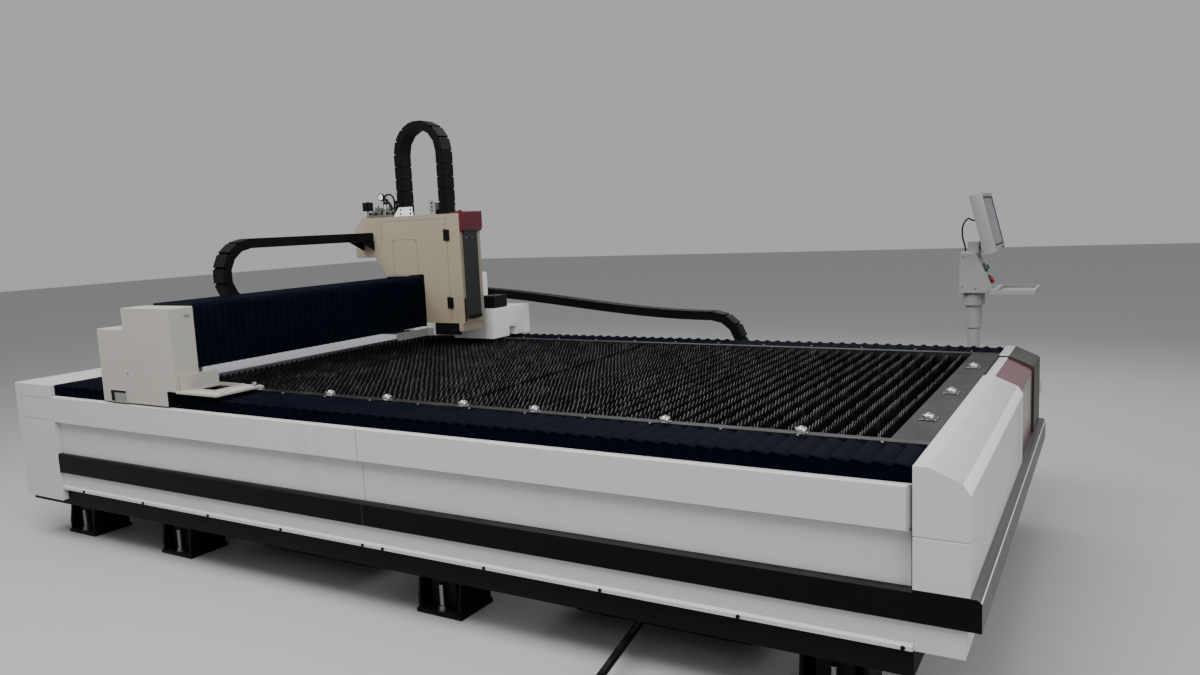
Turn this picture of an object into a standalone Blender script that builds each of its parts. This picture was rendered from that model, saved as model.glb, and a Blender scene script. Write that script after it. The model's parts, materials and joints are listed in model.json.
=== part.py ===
# Open flatbed laser cutting machine: welded bed, travelling gantry, carriage with
# cutting head, bellows, drag chains, slat table, slag trays and operator console.
# Metres, +Z up, +X along the bed towards the console end, -Y is the operator's side.
# The origin is on the floor under the middle of the bed.

import math

import bmesh
import bpy
from mathutils import Matrix, Vector

# Clearance between solids that touch
gap = 0.0003

# Bed and its covers
bed_length = 4.557
bed_width = 2.277
cover_top = 0.800
panel_top = 0.746
band_bottom = 0.606
stripe_top = 0.455
stripe_bottom = 0.363
skirt_bottom = 0.276
sheet = 0.003
band_proud = 0.025
band_bevel = 0.012
skirt_inset = 0.012
left_cover_length = 0.315
left_cover_bottom = 0.217
cap_length = 0.147
cap_flat = 0.042
cap_nose_height = 0.040
cap_nose_radius = 0.018
end_stripe_proud = 0.029
lamp_length = 0.535
far_section_length = 0.312
cap_rim = 0.008
end_recess_depth = 0.006

# Welded bed frame
beam_width = 0.180
beam_bottom = 0.190
beam_top = 0.690
cross_beam_width = 0.120
cross_beam_bottom = 0.290
foot_length = 0.220
foot_depth = 0.200
foot_inset = 0.080
foot_plate_thickness = 0.016
foot_web = 0.012
foot_web_slant = 0.040
foot_leg_length = 0.120
left_foot_places = (0.2485, 1.0135)
right_foot_places = (1.9485, 0.4285)
left_cross_beam_place = 0.8385
middle_cross_beam = 0.100
right_cross_beam_place = 0.2835

# Linear rails of the long axis
rail_width = 0.034
rail_height = 0.036
rail_setback = 0.115

# Table
table_rail_width = 0.040
table_ledge = 0.030
table_rail_drop = 0.090
slat_height = 0.100
slat_thickness = 0.004
slat_tooth_height = 0.022
slat_teeth = 10
slat_pitch = 0.057
comb_thickness = 0.010
comb_height = 0.040
comb_drop = 0.020
table_left_plate_end = 0.895
table_right_plate_start = 0.292
end_plate_thickness = 0.005
end_plate_flange = 0.060
ball_unit_places = (-0.760, -0.320, 0.000, 0.390, 0.720, 1.250, 1.720)
end_ball_positions = (-0.570, -0.115, 0.460)
ball_radius = 0.012
ball_cup_radius = 0.019
ball_cup_height = 0.016

# Bellows over the long rails
bellows_width = 0.220
bellows_skin = 0.004
pleat_pitch = 0.064
pleat_depth = 0.014

# Gantry
gantry_start = 0.760
gantry_length = 0.535
end_cover_width = 0.125
end_cover_rise = 0.017
end_cover_clearance = 0.007
end_cover_step_length = 0.198
end_cover_step_height = 0.097
tongue_inset = 0.060
tongue_height = 0.067
beam_section_bottom = 0.925
beam_section_top = 1.170
beam_section_width = 0.225
y_rail_height = 0.030
y_rail_depth = 0.026
shelf_thickness = 0.006
saddle_height = 0.050
saddle_inset = gap
beam_bellows_drop = 0.015
beam_bellows_rise = 0.027
beam_bellows_chamfer = 0.040
beam_bellows_depth = 0.026
beam_bellows_pitch = 0.062
shield_reach = 0.270
shield_width = 0.235
shield_clearance = 0.015
shield_thickness = 0.010
shield_step_height = 0.076
far_box_reach = 0.300
far_box_lift = 0.006
far_box_height = 0.179
far_box_clearance = 0.062

# Carriage and cutting head
carriage_setback = 0.617
carriage_width = 0.190
carriage_overhang = 0.290
carriage_length = 0.810
carriage_bottom = 0.930
carriage_top = 1.560
carriage_rear_height = 0.240
carriage_rear_chamfer = 0.070
carriage_clearance = 0.018
carriage_slope = 0.085
carriage_slope_foot = 0.006
carriage_front_clearance = 0.008
door_width = 0.095
door_return = 0.016
door_thickness = 0.012
door_margin = 0.015
hinge_radius = 0.006
hinge_height = 0.060
head_offset = 0.0855
head_travel = 0.095
column_width = 0.122
column_depth = 0.014
column_rise = 0.025
head_cap_width = 0.180
head_cap_offset = 0.008
head_cap_depth = 0.026
head_cap_drop = 0.104
head_cap_height = 0.122
head_cap_tail = 0.090
head_body_radius = 0.018
head_body_length = 0.120
head_body_setback = 0.086
head_arm_height = 0.026
nozzle_drop = 0.025
nozzle_length = 0.034
apron_depth = 0.030
apron_drop = 0.045
apron_setback = 0.006
head_skirt_length = 0.220
head_skirt_drop = 0.068

# Drag chains
chain_pitch = 0.070
chain_width = 0.086
chain_thickness = 0.050
z_chain_span = 0.316
z_chain_setback = 0.145
z_chain_height = 0.550
z_chain_well = 0.110
y_chain_level = 1.445
y_chain_radius = 0.160
y_chain_reach = 0.8965
y_chain_lower_reach = 0.675
x_chain_start_level = 1.060
x_chain_loop_level = 0.918
x_chain_radius = 0.165
x_chain_reach = 1.811
x_chain_lower_reach = 1.060
x_chain_offset = 0.0765
x_tray_height = 0.060
x_tray_sheet = 0.002
x_tray_clearance = 0.012

# Operator console
console_setback = 0.3535
console_stand = 0.2215
post_radius = 0.030
sleeve_radius = 0.039
collar_radius = 0.053
sleeve_bottom = 0.860
collar_bottom = 0.975
console_bottom = 1.040
console_height = 0.205
console_depth = 0.150
console_width = 0.140
button_radius = 0.011
button_length = 0.014
stop_radius = 0.019
monitor_width = 0.380
monitor_height = 0.300
monitor_thickness = 0.060
monitor_lean = 14.0
keyboard_reach = 0.200
keyboard_width = 0.330
keyboard_thickness = 0.022
cable_radius = 0.004

# Slag trays
tray_places = (-0.580, 1.160)
tray_length = 0.800
tray_depth = 1.640
tray_height = 0.150
tray_wall = 0.006
tray_taper = 0.050
drawbar_radius = 0.014
drawbar_reach = 0.700
drawbar_height = 0.120
lug_width = 0.060
lug_reach = 0.030
drawbar_clearance = 0.003

# Places worked out from the sizes above
x_left = -bed_length / 2
x_right = bed_length / 2
y_near = -bed_width / 2
y_far = bed_width / 2
left_cover_end = x_left + left_cover_length
cap_face = x_right - end_stripe_proud
cap_start = cap_face - cap_length
lamp_end = y_far - far_section_length
lamp_start = lamp_end - lamp_length
beam_outer = bed_width / 2 - band_proud - sheet - gap
beam_inner = beam_outer - beam_width
rail_line = beam_outer - rail_setback + rail_width / 2
bellows_outer = bed_width / 2 - 0.020
bellows_inner = bellows_outer - bellows_width
table_outer = bellows_inner - gap
table_inner = table_outer - table_rail_width
table_rail_foot = cover_top - slat_height - table_rail_drop
table_left = x_left + table_left_plate_end
table_right = x_right - table_right_plate_start
foot_positions = [x_left + place for place in left_foot_places]
foot_positions += [x_right - place for place in right_foot_places]
cross_beam_positions = (x_left + left_cross_beam_place, middle_cross_beam, x_right - right_cross_beam_place)
gantry_left = x_left + gantry_start
gantry_right = gantry_left + gantry_length
gantry_mid = (gantry_left + gantry_right) / 2
end_cover_top = beam_section_top + end_cover_rise
end_cover_bottom = panel_top + end_cover_clearance
beam_bellows_bottom = beam_section_bottom - beam_bellows_drop
beam_bellows_top = beam_section_top + beam_bellows_rise
shield_level = cover_top + shield_clearance
far_box_bottom = cover_top + far_box_lift
far_box_top = far_box_bottom + far_box_height
beam_front = gantry_right - beam_bellows_depth - y_rail_depth - 0.012
beam_rear = beam_front - beam_section_width
carriage_y = y_far - carriage_setback
carriage_far = carriage_y + carriage_width
carriage_front = gantry_right + carriage_overhang
carriage_rear = carriage_front - carriage_length
carriage_rear_bottom = carriage_top - carriage_rear_height
carriage_saddle_bottom = beam_bellows_top + carriage_clearance
head_y = carriage_y + head_offset
column_bottom = carriage_bottom + column_rise
head_cap_bottom = carriage_top - head_cap_drop
column_top = head_cap_bottom + head_travel
head_x = carriage_front - head_body_setback
nozzle_tip = carriage_bottom - nozzle_drop
far_cover_start = bed_width / 2 - end_cover_width
z_chain_right = carriage_front - z_chain_setback
z_chain_top = carriage_top + z_chain_height
y_chain_x = beam_rear - 0.120
y_chain_loop = carriage_y - y_chain_reach
y_chain_fixed = y_chain_loop + y_chain_lower_reach
x_chain_y = y_far + x_chain_offset
x_chain_loop = gantry_mid + x_chain_reach
x_chain_fixed = x_chain_loop - x_chain_lower_reach
console_x = x_right - console_setback
console_y = y_far + console_stand
y_rail_levels = (beam_section_bottom + 0.040, beam_section_top - 0.040 - y_rail_height)


# Collections and materials

for old in list(bpy.data.objects):
    bpy.data.objects.remove(old, do_unlink=True)

machine = bpy.data.collections.new("laser_cutting_machine")
bpy.context.scene.collection.children.link(machine)
cutters = bpy.data.collections.new("cutters")
bpy.context.scene.collection.children.link(cutters)


def make_material(name, colour, roughness, metallic=0.0):
    material = bpy.data.materials.new(name)
    material.use_nodes = True
    shader = material.node_tree.nodes["Principled BSDF"]
    shader.inputs["Base Color"].default_value = (*colour, 1.0)
    shader.inputs["Roughness"].default_value = roughness
    shader.inputs["Metallic"].default_value = metallic
    material.diffuse_color = (*colour, 1.0)
    return material


white_paint = make_material("white_paint", (0.62, 0.63, 0.64), 0.45)
cream_paint = make_material("cream_paint", (0.58, 0.53, 0.43), 0.45)
black_paint = make_material("black_paint", (0.012, 0.014, 0.018), 0.5)
frame_paint = make_material("frame_paint", (0.02, 0.022, 0.026), 0.6)
bellows_cloth = make_material("bellows_cloth", (0.010, 0.012, 0.022), 0.7)
chain_plastic = make_material("chain_plastic", (0.018, 0.02, 0.022), 0.5)
dark_steel = make_material("dark_steel", (0.09, 0.085, 0.08), 0.55, 0.8)
bright_steel = make_material("bright_steel", (0.55, 0.55, 0.54), 0.3, 1.0)
plate_steel = make_material("plate_steel", (0.42, 0.42, 0.41), 0.4, 0.9)
lamp_plastic = make_material("lamp_plastic", (0.16, 0.015, 0.025), 0.12)
olive_paint = make_material("olive_paint", (0.075, 0.07, 0.06), 0.4)
grey_paint = make_material("grey_paint", (0.055, 0.06, 0.068), 0.4)
console_paint = make_material("console_paint", (0.5, 0.5, 0.49), 0.4)
red_plastic = make_material("red_plastic", (0.55, 0.02, 0.02), 0.3)
green_plastic = make_material("green_plastic", (0.02, 0.22, 0.06), 0.3)
black_plastic = make_material("black_plastic", (0.015, 0.015, 0.016), 0.35)


# Modelling helpers

def add_object(name, mesh, material, origin=(0.0, 0.0, 0.0), collection=None, smooth=False):
    """Links a mesh whose points are in world metres, with the object's origin at a chosen point."""
    mesh.transform(Matrix.Translation(-Vector(origin)))
    piece = bpy.data.objects.new(name, mesh)
    piece.location = origin
    mesh.materials.append(material)
    (collection or machine).objects.link(piece)
    if smooth:
        mesh.shade_smooth()
        mesh.set_sharp_from_angle(angle=math.radians(35))
    return piece


def mesh_from(shape, name):
    bmesh.ops.recalc_face_normals(shape, faces=shape.faces)
    mesh = bpy.data.meshes.new(name)
    shape.to_mesh(mesh)
    shape.free()
    return mesh


def box_mesh(name, low, high):
    shape = bmesh.new()
    bmesh.ops.create_cube(shape, size=1.0)
    size = Vector(high) - Vector(low)
    bmesh.ops.scale(shape, vec=size, verts=shape.verts)
    bmesh.ops.translate(shape, vec=(Vector(low) + Vector(high)) / 2, verts=shape.verts)
    return mesh_from(shape, name)


def add_box(name, low, high, material, bevel=0.0, **options):
    piece = add_object(name, box_mesh(name, low, high), material, **options)
    if bevel:
        round_edges(piece, bevel)
    return piece


def add_cylinder(name, base, radius, height, material, axis="Z", sides=20, top_radius=None, **options):
    """A cylinder or cone from its base point along X, Y or Z."""
    shape = bmesh.new()
    far_radius = radius if top_radius is None else top_radius
    bmesh.ops.create_cone(
        shape, cap_ends=True, segments=sides, radius1=radius, radius2=far_radius, depth=height
    )
    bmesh.ops.translate(shape, vec=(0, 0, height / 2), verts=shape.verts)
    mesh = mesh_from(shape, name)
    turn = {
        "X": Matrix.Rotation(math.radians(90), 4, "Y"),
        "Y": Matrix.Rotation(math.radians(-90), 4, "X"),
        "Z": Matrix.Identity(4),
    }[axis]
    mesh.transform(Matrix.Translation(base) @ turn)
    return add_object(name, mesh, material, smooth=True, **options)


def outline_mesh(name, points, plane, start, end):
    """A closed outline in a plane, extruded along the third axis from start to end."""
    curve = bpy.data.curves.new(name, "CURVE")
    curve.dimensions = "2D"
    curve.fill_mode = "BOTH"
    curve.extrude = abs(end - start) / 2
    spline = curve.splines.new("POLY")
    spline.points.add(len(points) - 1)
    for target, point in zip(spline.points, points):
        target.co = (point[0], point[1], 0.0, 1.0)
    spline.use_cyclic_u = True
    holder = bpy.data.objects.new(name, curve)
    machine.objects.link(holder)
    graph = bpy.context.evaluated_depsgraph_get()
    mesh = bpy.data.meshes.new_from_object(holder.evaluated_get(graph))
    bpy.data.objects.remove(holder, do_unlink=True)
    middle = (start + end) / 2
    turn = {
        "XY": Matrix.Translation((0, 0, middle)),
        "XZ": Matrix.Translation((0, middle, 0)) @ Matrix.Rotation(math.radians(90), 4, "X"),
        "YZ": Matrix(((0, 0, 1, middle), (1, 0, 0, 0), (0, 1, 0, 0), (0, 0, 0, 1))),
    }[plane]
    mesh.transform(turn)
    shape = bmesh.new()
    shape.from_mesh(mesh)
    bmesh.ops.remove_doubles(shape, verts=shape.verts, dist=0.00001)
    bpy.data.meshes.remove(mesh)
    return mesh_from(shape, name)


def add_outline(name, points, plane, start, end, material, bevel=0.0, **options):
    piece = add_object(name, outline_mesh(name, points, plane, start, end), material, **options)
    if bevel:
        round_edges(piece, bevel)
    return piece


def loft_mesh(name, rings, closed=False):
    """Skins rings of equally many points; the ends are capped unless the loft closes on itself."""
    shape = bmesh.new()
    rows = [[shape.verts.new(point) for point in ring] for ring in rings]
    pairs = list(zip(rows, rows[1:]))
    if closed:
        pairs.append((rows[-1], rows[0]))
    for first, second in pairs:
        count = len(first)
        for i in range(count):
            j = (i + 1) % count
            shape.faces.new((first[i], first[j], second[j], second[i]))
    if not closed:
        shape.faces.new(rows[0])
        shape.faces.new(rows[-1])
    return mesh_from(shape, name)


def add_tube(name, points, radius, material, resolution=2, **options):
    """A round bar or hose along a list of points, with filled caps."""
    curve = bpy.data.curves.new(name, "CURVE")
    curve.dimensions = "3D"
    curve.bevel_depth = radius
    curve.bevel_resolution = resolution
    curve.use_fill_caps = True
    spline = curve.splines.new("POLY")
    spline.points.add(len(points) - 1)
    for target, point in zip(spline.points, points):
        target.co = (*point, 1.0)
    holder = bpy.data.objects.new(name, curve)
    machine.objects.link(holder)
    graph = bpy.context.evaluated_depsgraph_get()
    mesh = bpy.data.meshes.new_from_object(holder.evaluated_get(graph))
    bpy.data.objects.remove(holder, do_unlink=True)
    shape = bmesh.new()
    shape.from_mesh(mesh)
    bmesh.ops.remove_doubles(shape, verts=shape.verts, dist=0.00001)
    bpy.data.meshes.remove(mesh)
    return add_object(name, mesh_from(shape, name), material, smooth=True, **options)


def round_edges(piece, width, segments=1):
    bevel = piece.modifiers.new("rounded_edges", "BEVEL")
    bevel.width = width
    bevel.segments = segments
    bevel.limit_method = "ANGLE"
    bevel.angle_limit = math.radians(40)


def combine(piece, helper, operation):
    """Joins a helper to a piece, or cuts it away; the helper goes with the cutters."""
    for collection in list(helper.users_collection):
        collection.objects.unlink(helper)
    cutters.objects.link(helper)
    helper.hide_render = True
    helper.display_type = "WIRE"
    step = piece.modifiers.new(helper.name, "BOOLEAN")
    step.operation = operation
    step.solver = "EXACT"
    step.object = helper


def join(piece, helper):
    combine(piece, helper, "UNION")


def cut(piece, helper):
    combine(piece, helper, "DIFFERENCE")


def mirrored(points):
    """The same outline on the far side, in the same turning order."""
    return [(-y, z) for y, z in reversed(points)]


def arc(centre, radius, first, last, steps):
    """Points on an arc, with its angles in degrees."""
    found = []
    for i in range(steps + 1):
        angle = math.radians(first + (last - first) * i / steps)
        found.append((centre[0] + radius * math.cos(angle), centre[1] + radius * math.sin(angle)))
    return found


# Bed frame

def foot_helpers(name, x, side):
    """A welded foot, open to the outside: base plate, leg and two webs with slanted fronts."""
    outer = beam_outer - foot_inset
    inner = outer - foot_depth
    half = foot_length / 2
    sink = 0.010
    web_front = outer - 0.006
    leg_front = outer - foot_web_slant
    plate = add_box(
        name + "_plate",
        (x - half, min(side * inner, side * outer), 0.0),
        (x + half, max(side * inner, side * outer), foot_plate_thickness),
        frame_paint,
    )
    leg = add_box(
        name + "_leg",
        (x - foot_leg_length / 2, min(side * (inner + 0.020), side * leg_front), foot_plate_thickness - sink),
        (x + foot_leg_length / 2, max(side * (inner + 0.020), side * leg_front), beam_bottom + sink),
        frame_paint,
    )
    web = [
        (inner + 0.006, foot_plate_thickness - sink),
        (web_front, foot_plate_thickness - sink),
        (web_front, foot_plate_thickness + 0.045),
        (leg_front + 0.012, beam_bottom + sink),
        (inner + 0.020, beam_bottom + sink),
        (inner + 0.006, foot_plate_thickness + 0.045),
    ]
    outline = web if side > 0 else mirrored(web)
    webs = []
    for start in (x - half + 0.006, x + half - 0.006 - foot_web):
        webs.append(add_outline(name + "_web", outline, "YZ", start, start + foot_web, frame_paint))
    tie = add_box(
        name + "_tie",
        (x - half + 0.010, min(side * (inner + 0.020), side * (inner + 0.032)), foot_plate_thickness - sink),
        (x + half - 0.010, max(side * (inner + 0.020), side * (inner + 0.032)), beam_bottom + sink * 0.5),
        frame_paint,
    )
    return [plate, leg, *webs, tie]


def build_side_beam(name, side):
    inner, outer = sorted((side * beam_inner, side * beam_outer))
    beam = add_box(
        name,
        (x_left + sheet + gap, inner, beam_bottom),
        (cap_start - gap, outer, beam_top),
        frame_paint,
    )
    for number, x in enumerate(foot_positions):
        for helper in foot_helpers(f"{name}_foot_{number}", x, side):
            join(beam, helper)


def build_bed_frame():
    build_side_beam("bed_beam_near", -1)
    build_side_beam("bed_beam_far", 1)
    for name, x in zip(("cross_beam_left", "cross_beam_middle", "cross_beam_right"), cross_beam_positions):
        add_box(
            name,
            (x - cross_beam_width / 2, -beam_inner + gap, cross_beam_bottom),
            (x + cross_beam_width / 2, beam_inner - gap, table_rail_foot - gap),
            frame_paint,
        )
    for name, side in (("near_x_rail", -1), ("far_x_rail", 1)):
        line = side * rail_line
        waist = rail_width * 0.36
        half = rail_width / 2
        base = beam_top + gap
        head = base + rail_height
        outline = [
            (line - half, base),
            (line + half, base),
            (line + half, base + rail_height * 0.35),
            (line + waist, base + rail_height * 0.55),
            (line + half, base + rail_height * 0.75),
            (line + half, head),
            (line - half, head),
            (line - half, base + rail_height * 0.75),
            (line - waist, base + rail_height * 0.55),
            (line - half, base + rail_height * 0.35),
        ]
        add_outline(name, outline, "YZ", x_left + 0.030, cap_start - 0.010, bright_steel)


# Side covers

def side_panel_outline():
    """Near panel in section: top flange, raised band, stepped recess behind the stripe."""
    face = y_near
    back = y_near + band_proud
    lip = 0.016
    return [
        (face, panel_top - band_bevel / 2),
        (face, band_bottom + band_bevel),
        (back, band_bottom),
        (back, stripe_top + gap),
        (back + sheet, stripe_top + gap),
        (back + sheet, band_bottom + sheet),
        (face + sheet, band_bottom + band_bevel + sheet),
        (face + sheet, panel_top - sheet),
        (face + sheet + lip, panel_top - sheet),
        (face + sheet + lip, panel_top),
        (face + band_bevel / 2, panel_top),
    ]


def stripe_outline():
    """Dark stripe in section: a ledge on top, a flat face and a return below."""
    face = y_near
    back = y_near + band_proud + sheet
    return [
        (face, stripe_bottom),
        (face, stripe_top - 0.008),
        (face + 0.008, stripe_top),
        (back, stripe_top),
        (back, stripe_top - sheet),
        (face + sheet + 0.006, stripe_top - sheet),
        (face + sheet, stripe_top - 0.010),
        (face + sheet, stripe_bottom + sheet),
        (back, stripe_bottom + sheet),
        (back, stripe_bottom),
    ]


def skirt_outline():
    """Lower skirt in section: an upright sheet with a bottom flange turned out and a drip edge."""
    face = y_near + skirt_inset
    back = y_near + band_proud + sheet
    top = stripe_bottom - gap
    return [
        (back, top),
        (face, top),
        (face, skirt_bottom + 0.020),
        (face - 0.008, skirt_bottom + 0.012),
        (face - 0.008, skirt_bottom),
        (back, skirt_bottom),
        (back, skirt_bottom + sheet),
        (face - 0.008 + sheet, skirt_bottom + sheet),
        (face - 0.008 + sheet, skirt_bottom + 0.011),
        (face + sheet, skirt_bottom + 0.018),
        (face + sheet, top - sheet),
        (back, top - sheet),
    ]


def build_side_covers():
    start = left_cover_end + gap
    end = cap_start - gap
    near = (
        ("near_side_panel", side_panel_outline(), white_paint),
        ("near_side_stripe", stripe_outline(), black_paint),
        ("near_side_skirt", skirt_outline(), white_paint),
    )
    for name, outline, material in near:
        add_outline(name, outline, "YZ", start, end, material)
        add_outline(name.replace("near", "far"), mirrored(outline), "YZ", start, end, material)


def build_left_cover():
    cover = add_box(
        "left_end_cover",
        (x_left, y_near, left_cover_bottom),
        (left_cover_end, y_far, cover_top),
        white_paint,
    )
    hollow = add_box(
        "left_cover_hollow",
        (x_left + sheet, y_near + sheet, left_cover_bottom - 0.050),
        (left_cover_end + 0.050, y_far - sheet, cover_top - sheet),
        white_paint,
    )
    cut(cover, hollow)


def cap_outline(inset):
    """End cap in side view: flat top, slope, rounded nose, upright face."""
    top = cover_top - inset
    face = cap_face - inset
    nose_x = face - cap_nose_radius * 0.25
    nose_z = cover_top - cap_nose_height - inset
    start = (cap_start, top)
    flat_end = (cap_start + cap_flat - inset * 0.3, top)
    nose = arc((nose_x - cap_nose_radius * 0.75, nose_z - cap_nose_radius), cap_nose_radius, 65, 0, 3)
    return [start, flat_end, *nose]


def cap_section(name, start, end, inset, bottom, material):
    points = cap_outline(inset)
    floor = bottom
    outline = [(cap_start, floor), *points, (points[-1][0], floor)]
    return add_outline(name, list(reversed(outline)), "XZ", start, end, material)


def build_right_end():
    floor = stripe_top + gap
    shell = cap_section("right_end_cap", y_near, lamp_start, 0.0, floor, white_paint)
    recess = add_box(
        "end_recess",
        (cap_face - end_recess_depth, y_near + 0.340, floor + 0.030),
        (cap_face + 0.050, lamp_start - 0.110, cover_top - cap_nose_height - 0.060),
        white_paint,
    )
    cut(shell, recess)
    groove = add_box(
        "cap_crease",
        (cap_start - 0.010, y_near - 0.010, band_bottom - 0.004),
        (cap_face + 0.050, y_near + 0.0025, band_bottom),
        white_paint,
    )
    cut(shell, groove)
    cap_section("lamp_cover", lamp_start + gap, lamp_end, cap_rim, floor, lamp_plastic)
    cap_section("end_cap_far_section", lamp_end + gap, y_far, 0.0, floor, olive_paint)
    stripe = [
        (cap_start, stripe_bottom),
        (cap_start, stripe_top),
        (x_right - 0.012, stripe_top),
        (x_right, stripe_top - 0.010),
        (x_right, stripe_bottom),
    ]
    add_outline("end_stripe", list(reversed(stripe)), "XZ", y_near, y_far, black_paint)
    add_box(
        "end_skirt",
        (cap_start, y_near + skirt_inset, skirt_bottom),
        (cap_face - skirt_inset, y_far - skirt_inset, stripe_bottom - gap),
        white_paint,
    )


# Table

def ball_unit(name, x, y, base):
    """A ball transfer: a round cup with a polished ball standing out of it."""
    cup = add_cylinder(
        name + "_cup",
        (x, y, base - 0.004),
        ball_cup_radius,
        ball_cup_height + 0.004,
        bright_steel,
        sides=8,
        top_radius=ball_cup_radius * 0.78,
    )
    ball = add_cylinder(
        name + "_ball",
        (x, y, base + ball_cup_height - 0.003),
        ball_radius,
        ball_radius * 0.8,
        bright_steel,
        sides=8,
        top_radius=ball_radius * 0.4,
    )
    return [cup, ball]


def build_table_rails():
    slat_foot = cover_top - slat_height
    near = [
        (-beam_inner + gap, table_rail_foot),
        (-table_inner, table_rail_foot),
        (-table_inner, slat_foot - 0.022),
        (-table_inner + table_ledge, slat_foot - 0.022),
        (-table_inner + table_ledge, slat_foot - gap),
        (-table_inner, slat_foot - gap),
        (-table_inner, cover_top),
        (-table_outer, cover_top),
        (-table_outer, beam_top + 0.012),
        (-beam_inner + gap, beam_top + 0.012),
    ]
    start = left_cover_end + gap
    end = cap_start - gap
    rail = add_outline("table_near_rail", near, "YZ", start, end, dark_steel)
    line = -(table_outer + table_inner) / 2
    for number, x in enumerate(ball_unit_places):
        for helper in ball_unit(f"near_ball_{number}", x, line, cover_top):
            join(rail, helper)
    add_outline("table_far_rail", mirrored(near), "YZ", start, end, dark_steel)


def end_plate(name, start, end):
    """A folded plate at one end of the table, its flanges turned down."""
    reach = table_inner - gap
    low = cover_top - end_plate_flange
    skin = end_plate_thickness
    channel = [
        (start, low),
        (start, cover_top),
        (end, cover_top),
        (end, low),
        (end - skin, low),
        (end - skin, cover_top - skin),
        (start + skin, cover_top - skin),
        (start + skin, low),
    ]
    return add_outline(name, list(reversed(channel)), "XZ", -reach, reach, plate_steel)


def build_end_plates():
    end_plate("table_left_plate", left_cover_end + gap, table_left - gap)
    plate = end_plate("table_right_plate", table_right + gap, cap_start - gap)
    line = (table_right + cap_start) / 2
    for number, y in enumerate(end_ball_positions):
        for helper in ball_unit(f"end_ball_{number}", line, y, cover_top):
            join(plate, helper)


def slat_outline(reach):
    """One toothed slat, seen along the bed: straight foot, pointed top."""
    foot = cover_top - slat_height
    root = cover_top - slat_tooth_height
    step = 2 * reach / slat_teeth
    points = [(-reach, foot), (reach, foot), (reach, root)]
    for i in range(slat_teeth):
        y = reach - i * step
        points.append((y - step / 2, cover_top))
        points.append((y - step, root))
    return points


def build_slat_bank(name, start, end):
    """Toothed slats at their pitch between start and end, held upright by a comb bar in the middle."""
    reach = table_inner - gap
    foot = cover_top - slat_height
    bank = add_box(
        name,
        (start, -comb_thickness / 2, foot - comb_drop),
        (end, comb_thickness / 2, foot + comb_height),
        dark_steel,
    )
    outline = slat_outline(reach)
    count = int((end - start) / slat_pitch)
    first = (start + end - (count - 1) * slat_pitch) / 2
    shape = bmesh.new()
    for i in range(count):
        x = first + i * slat_pitch
        slat = outline_mesh(name + "_slat", outline, "YZ", x - slat_thickness / 2, x + slat_thickness / 2)
        shape.from_mesh(slat)
        bpy.data.meshes.remove(slat)
    blades = add_object(name + "_slats", mesh_from(shape, name + "_slats"), dark_steel)
    join(bank, blades)


def build_table():
    build_table_rails()
    build_end_plates()
    middle = (table_left + table_right) / 2
    build_slat_bank("slat_bank_left", table_left + gap, middle - gap)
    build_slat_bank("slat_bank_right", middle + gap, table_right - gap)


# Bellows

def build_long_bellows(name, start, end, side):
    """Roof bellows over a long rail: overlapping pleats on top, an upright curtain outside."""
    length = end - start
    count = max(3, round(length / pleat_pitch))
    step = length / count
    low = cover_top - pleat_depth
    under = low - bellows_skin
    outline = [(start, under), (end, under), (end, low)]
    for i in range(count):
        x = end - i * step
        outline.append((x - step * 0.25, cover_top))
        outline.append((x - step, low))
    inner, outer = sorted((side * bellows_inner, side * bellows_outer))
    bellows = add_outline(name, outline, "XZ", inner, outer, bellows_cloth)
    curtain = (side * bellows_outer, side * (bellows_outer - bellows_skin))
    wall = add_box(
        name + "_curtain",
        (start, min(curtain), panel_top - 0.030),
        (end, max(curtain), low - bellows_skin / 2),
        bellows_cloth,
    )
    join(bellows, wall)


def build_bellows():
    for side_name, side in (("near", -1), ("far", 1)):
        build_long_bellows(side_name + "_bellows_left", left_cover_end + gap, gantry_left - gap, side)
        build_long_bellows(side_name + "_bellows_right", gantry_right + gap, cap_start - gap, side)


def beam_bellows_ring(y, inset):
    """Section across the beam bellows: front curtain, chamfer and top flap, one skin thick."""
    front = gantry_right - inset
    top = beam_bellows_top - inset
    rear = beam_rear + 0.010
    ch = beam_bellows_chamfer
    back = gantry_right - beam_bellows_depth
    under = beam_bellows_top - beam_bellows_depth
    lip = beam_bellows_bottom
    return [
        Vector((rear, y, top)),
        Vector((front - ch, y, top)),
        Vector((front, y, top - ch)),
        Vector((front, y, lip)),
        Vector((back, y, lip)),
        Vector((back, y, under - ch * 0.5)),
        Vector((back - ch * 0.5, y, under)),
        Vector((rear, y, under)),
    ]


def build_beam_bellows(name, start, end, pleats):
    step = (end - start) / pleats
    depth = beam_bellows_depth * 0.6
    rings = [beam_bellows_ring(start, depth)]
    for i in range(pleats):
        rings.append(beam_bellows_ring(start + (i + 0.5) * step, 0.0))
        rings.append(beam_bellows_ring(start + (i + 1) * step, depth))
    add_object(name, loft_mesh(name, rings), bellows_cloth)


# Gantry

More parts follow.
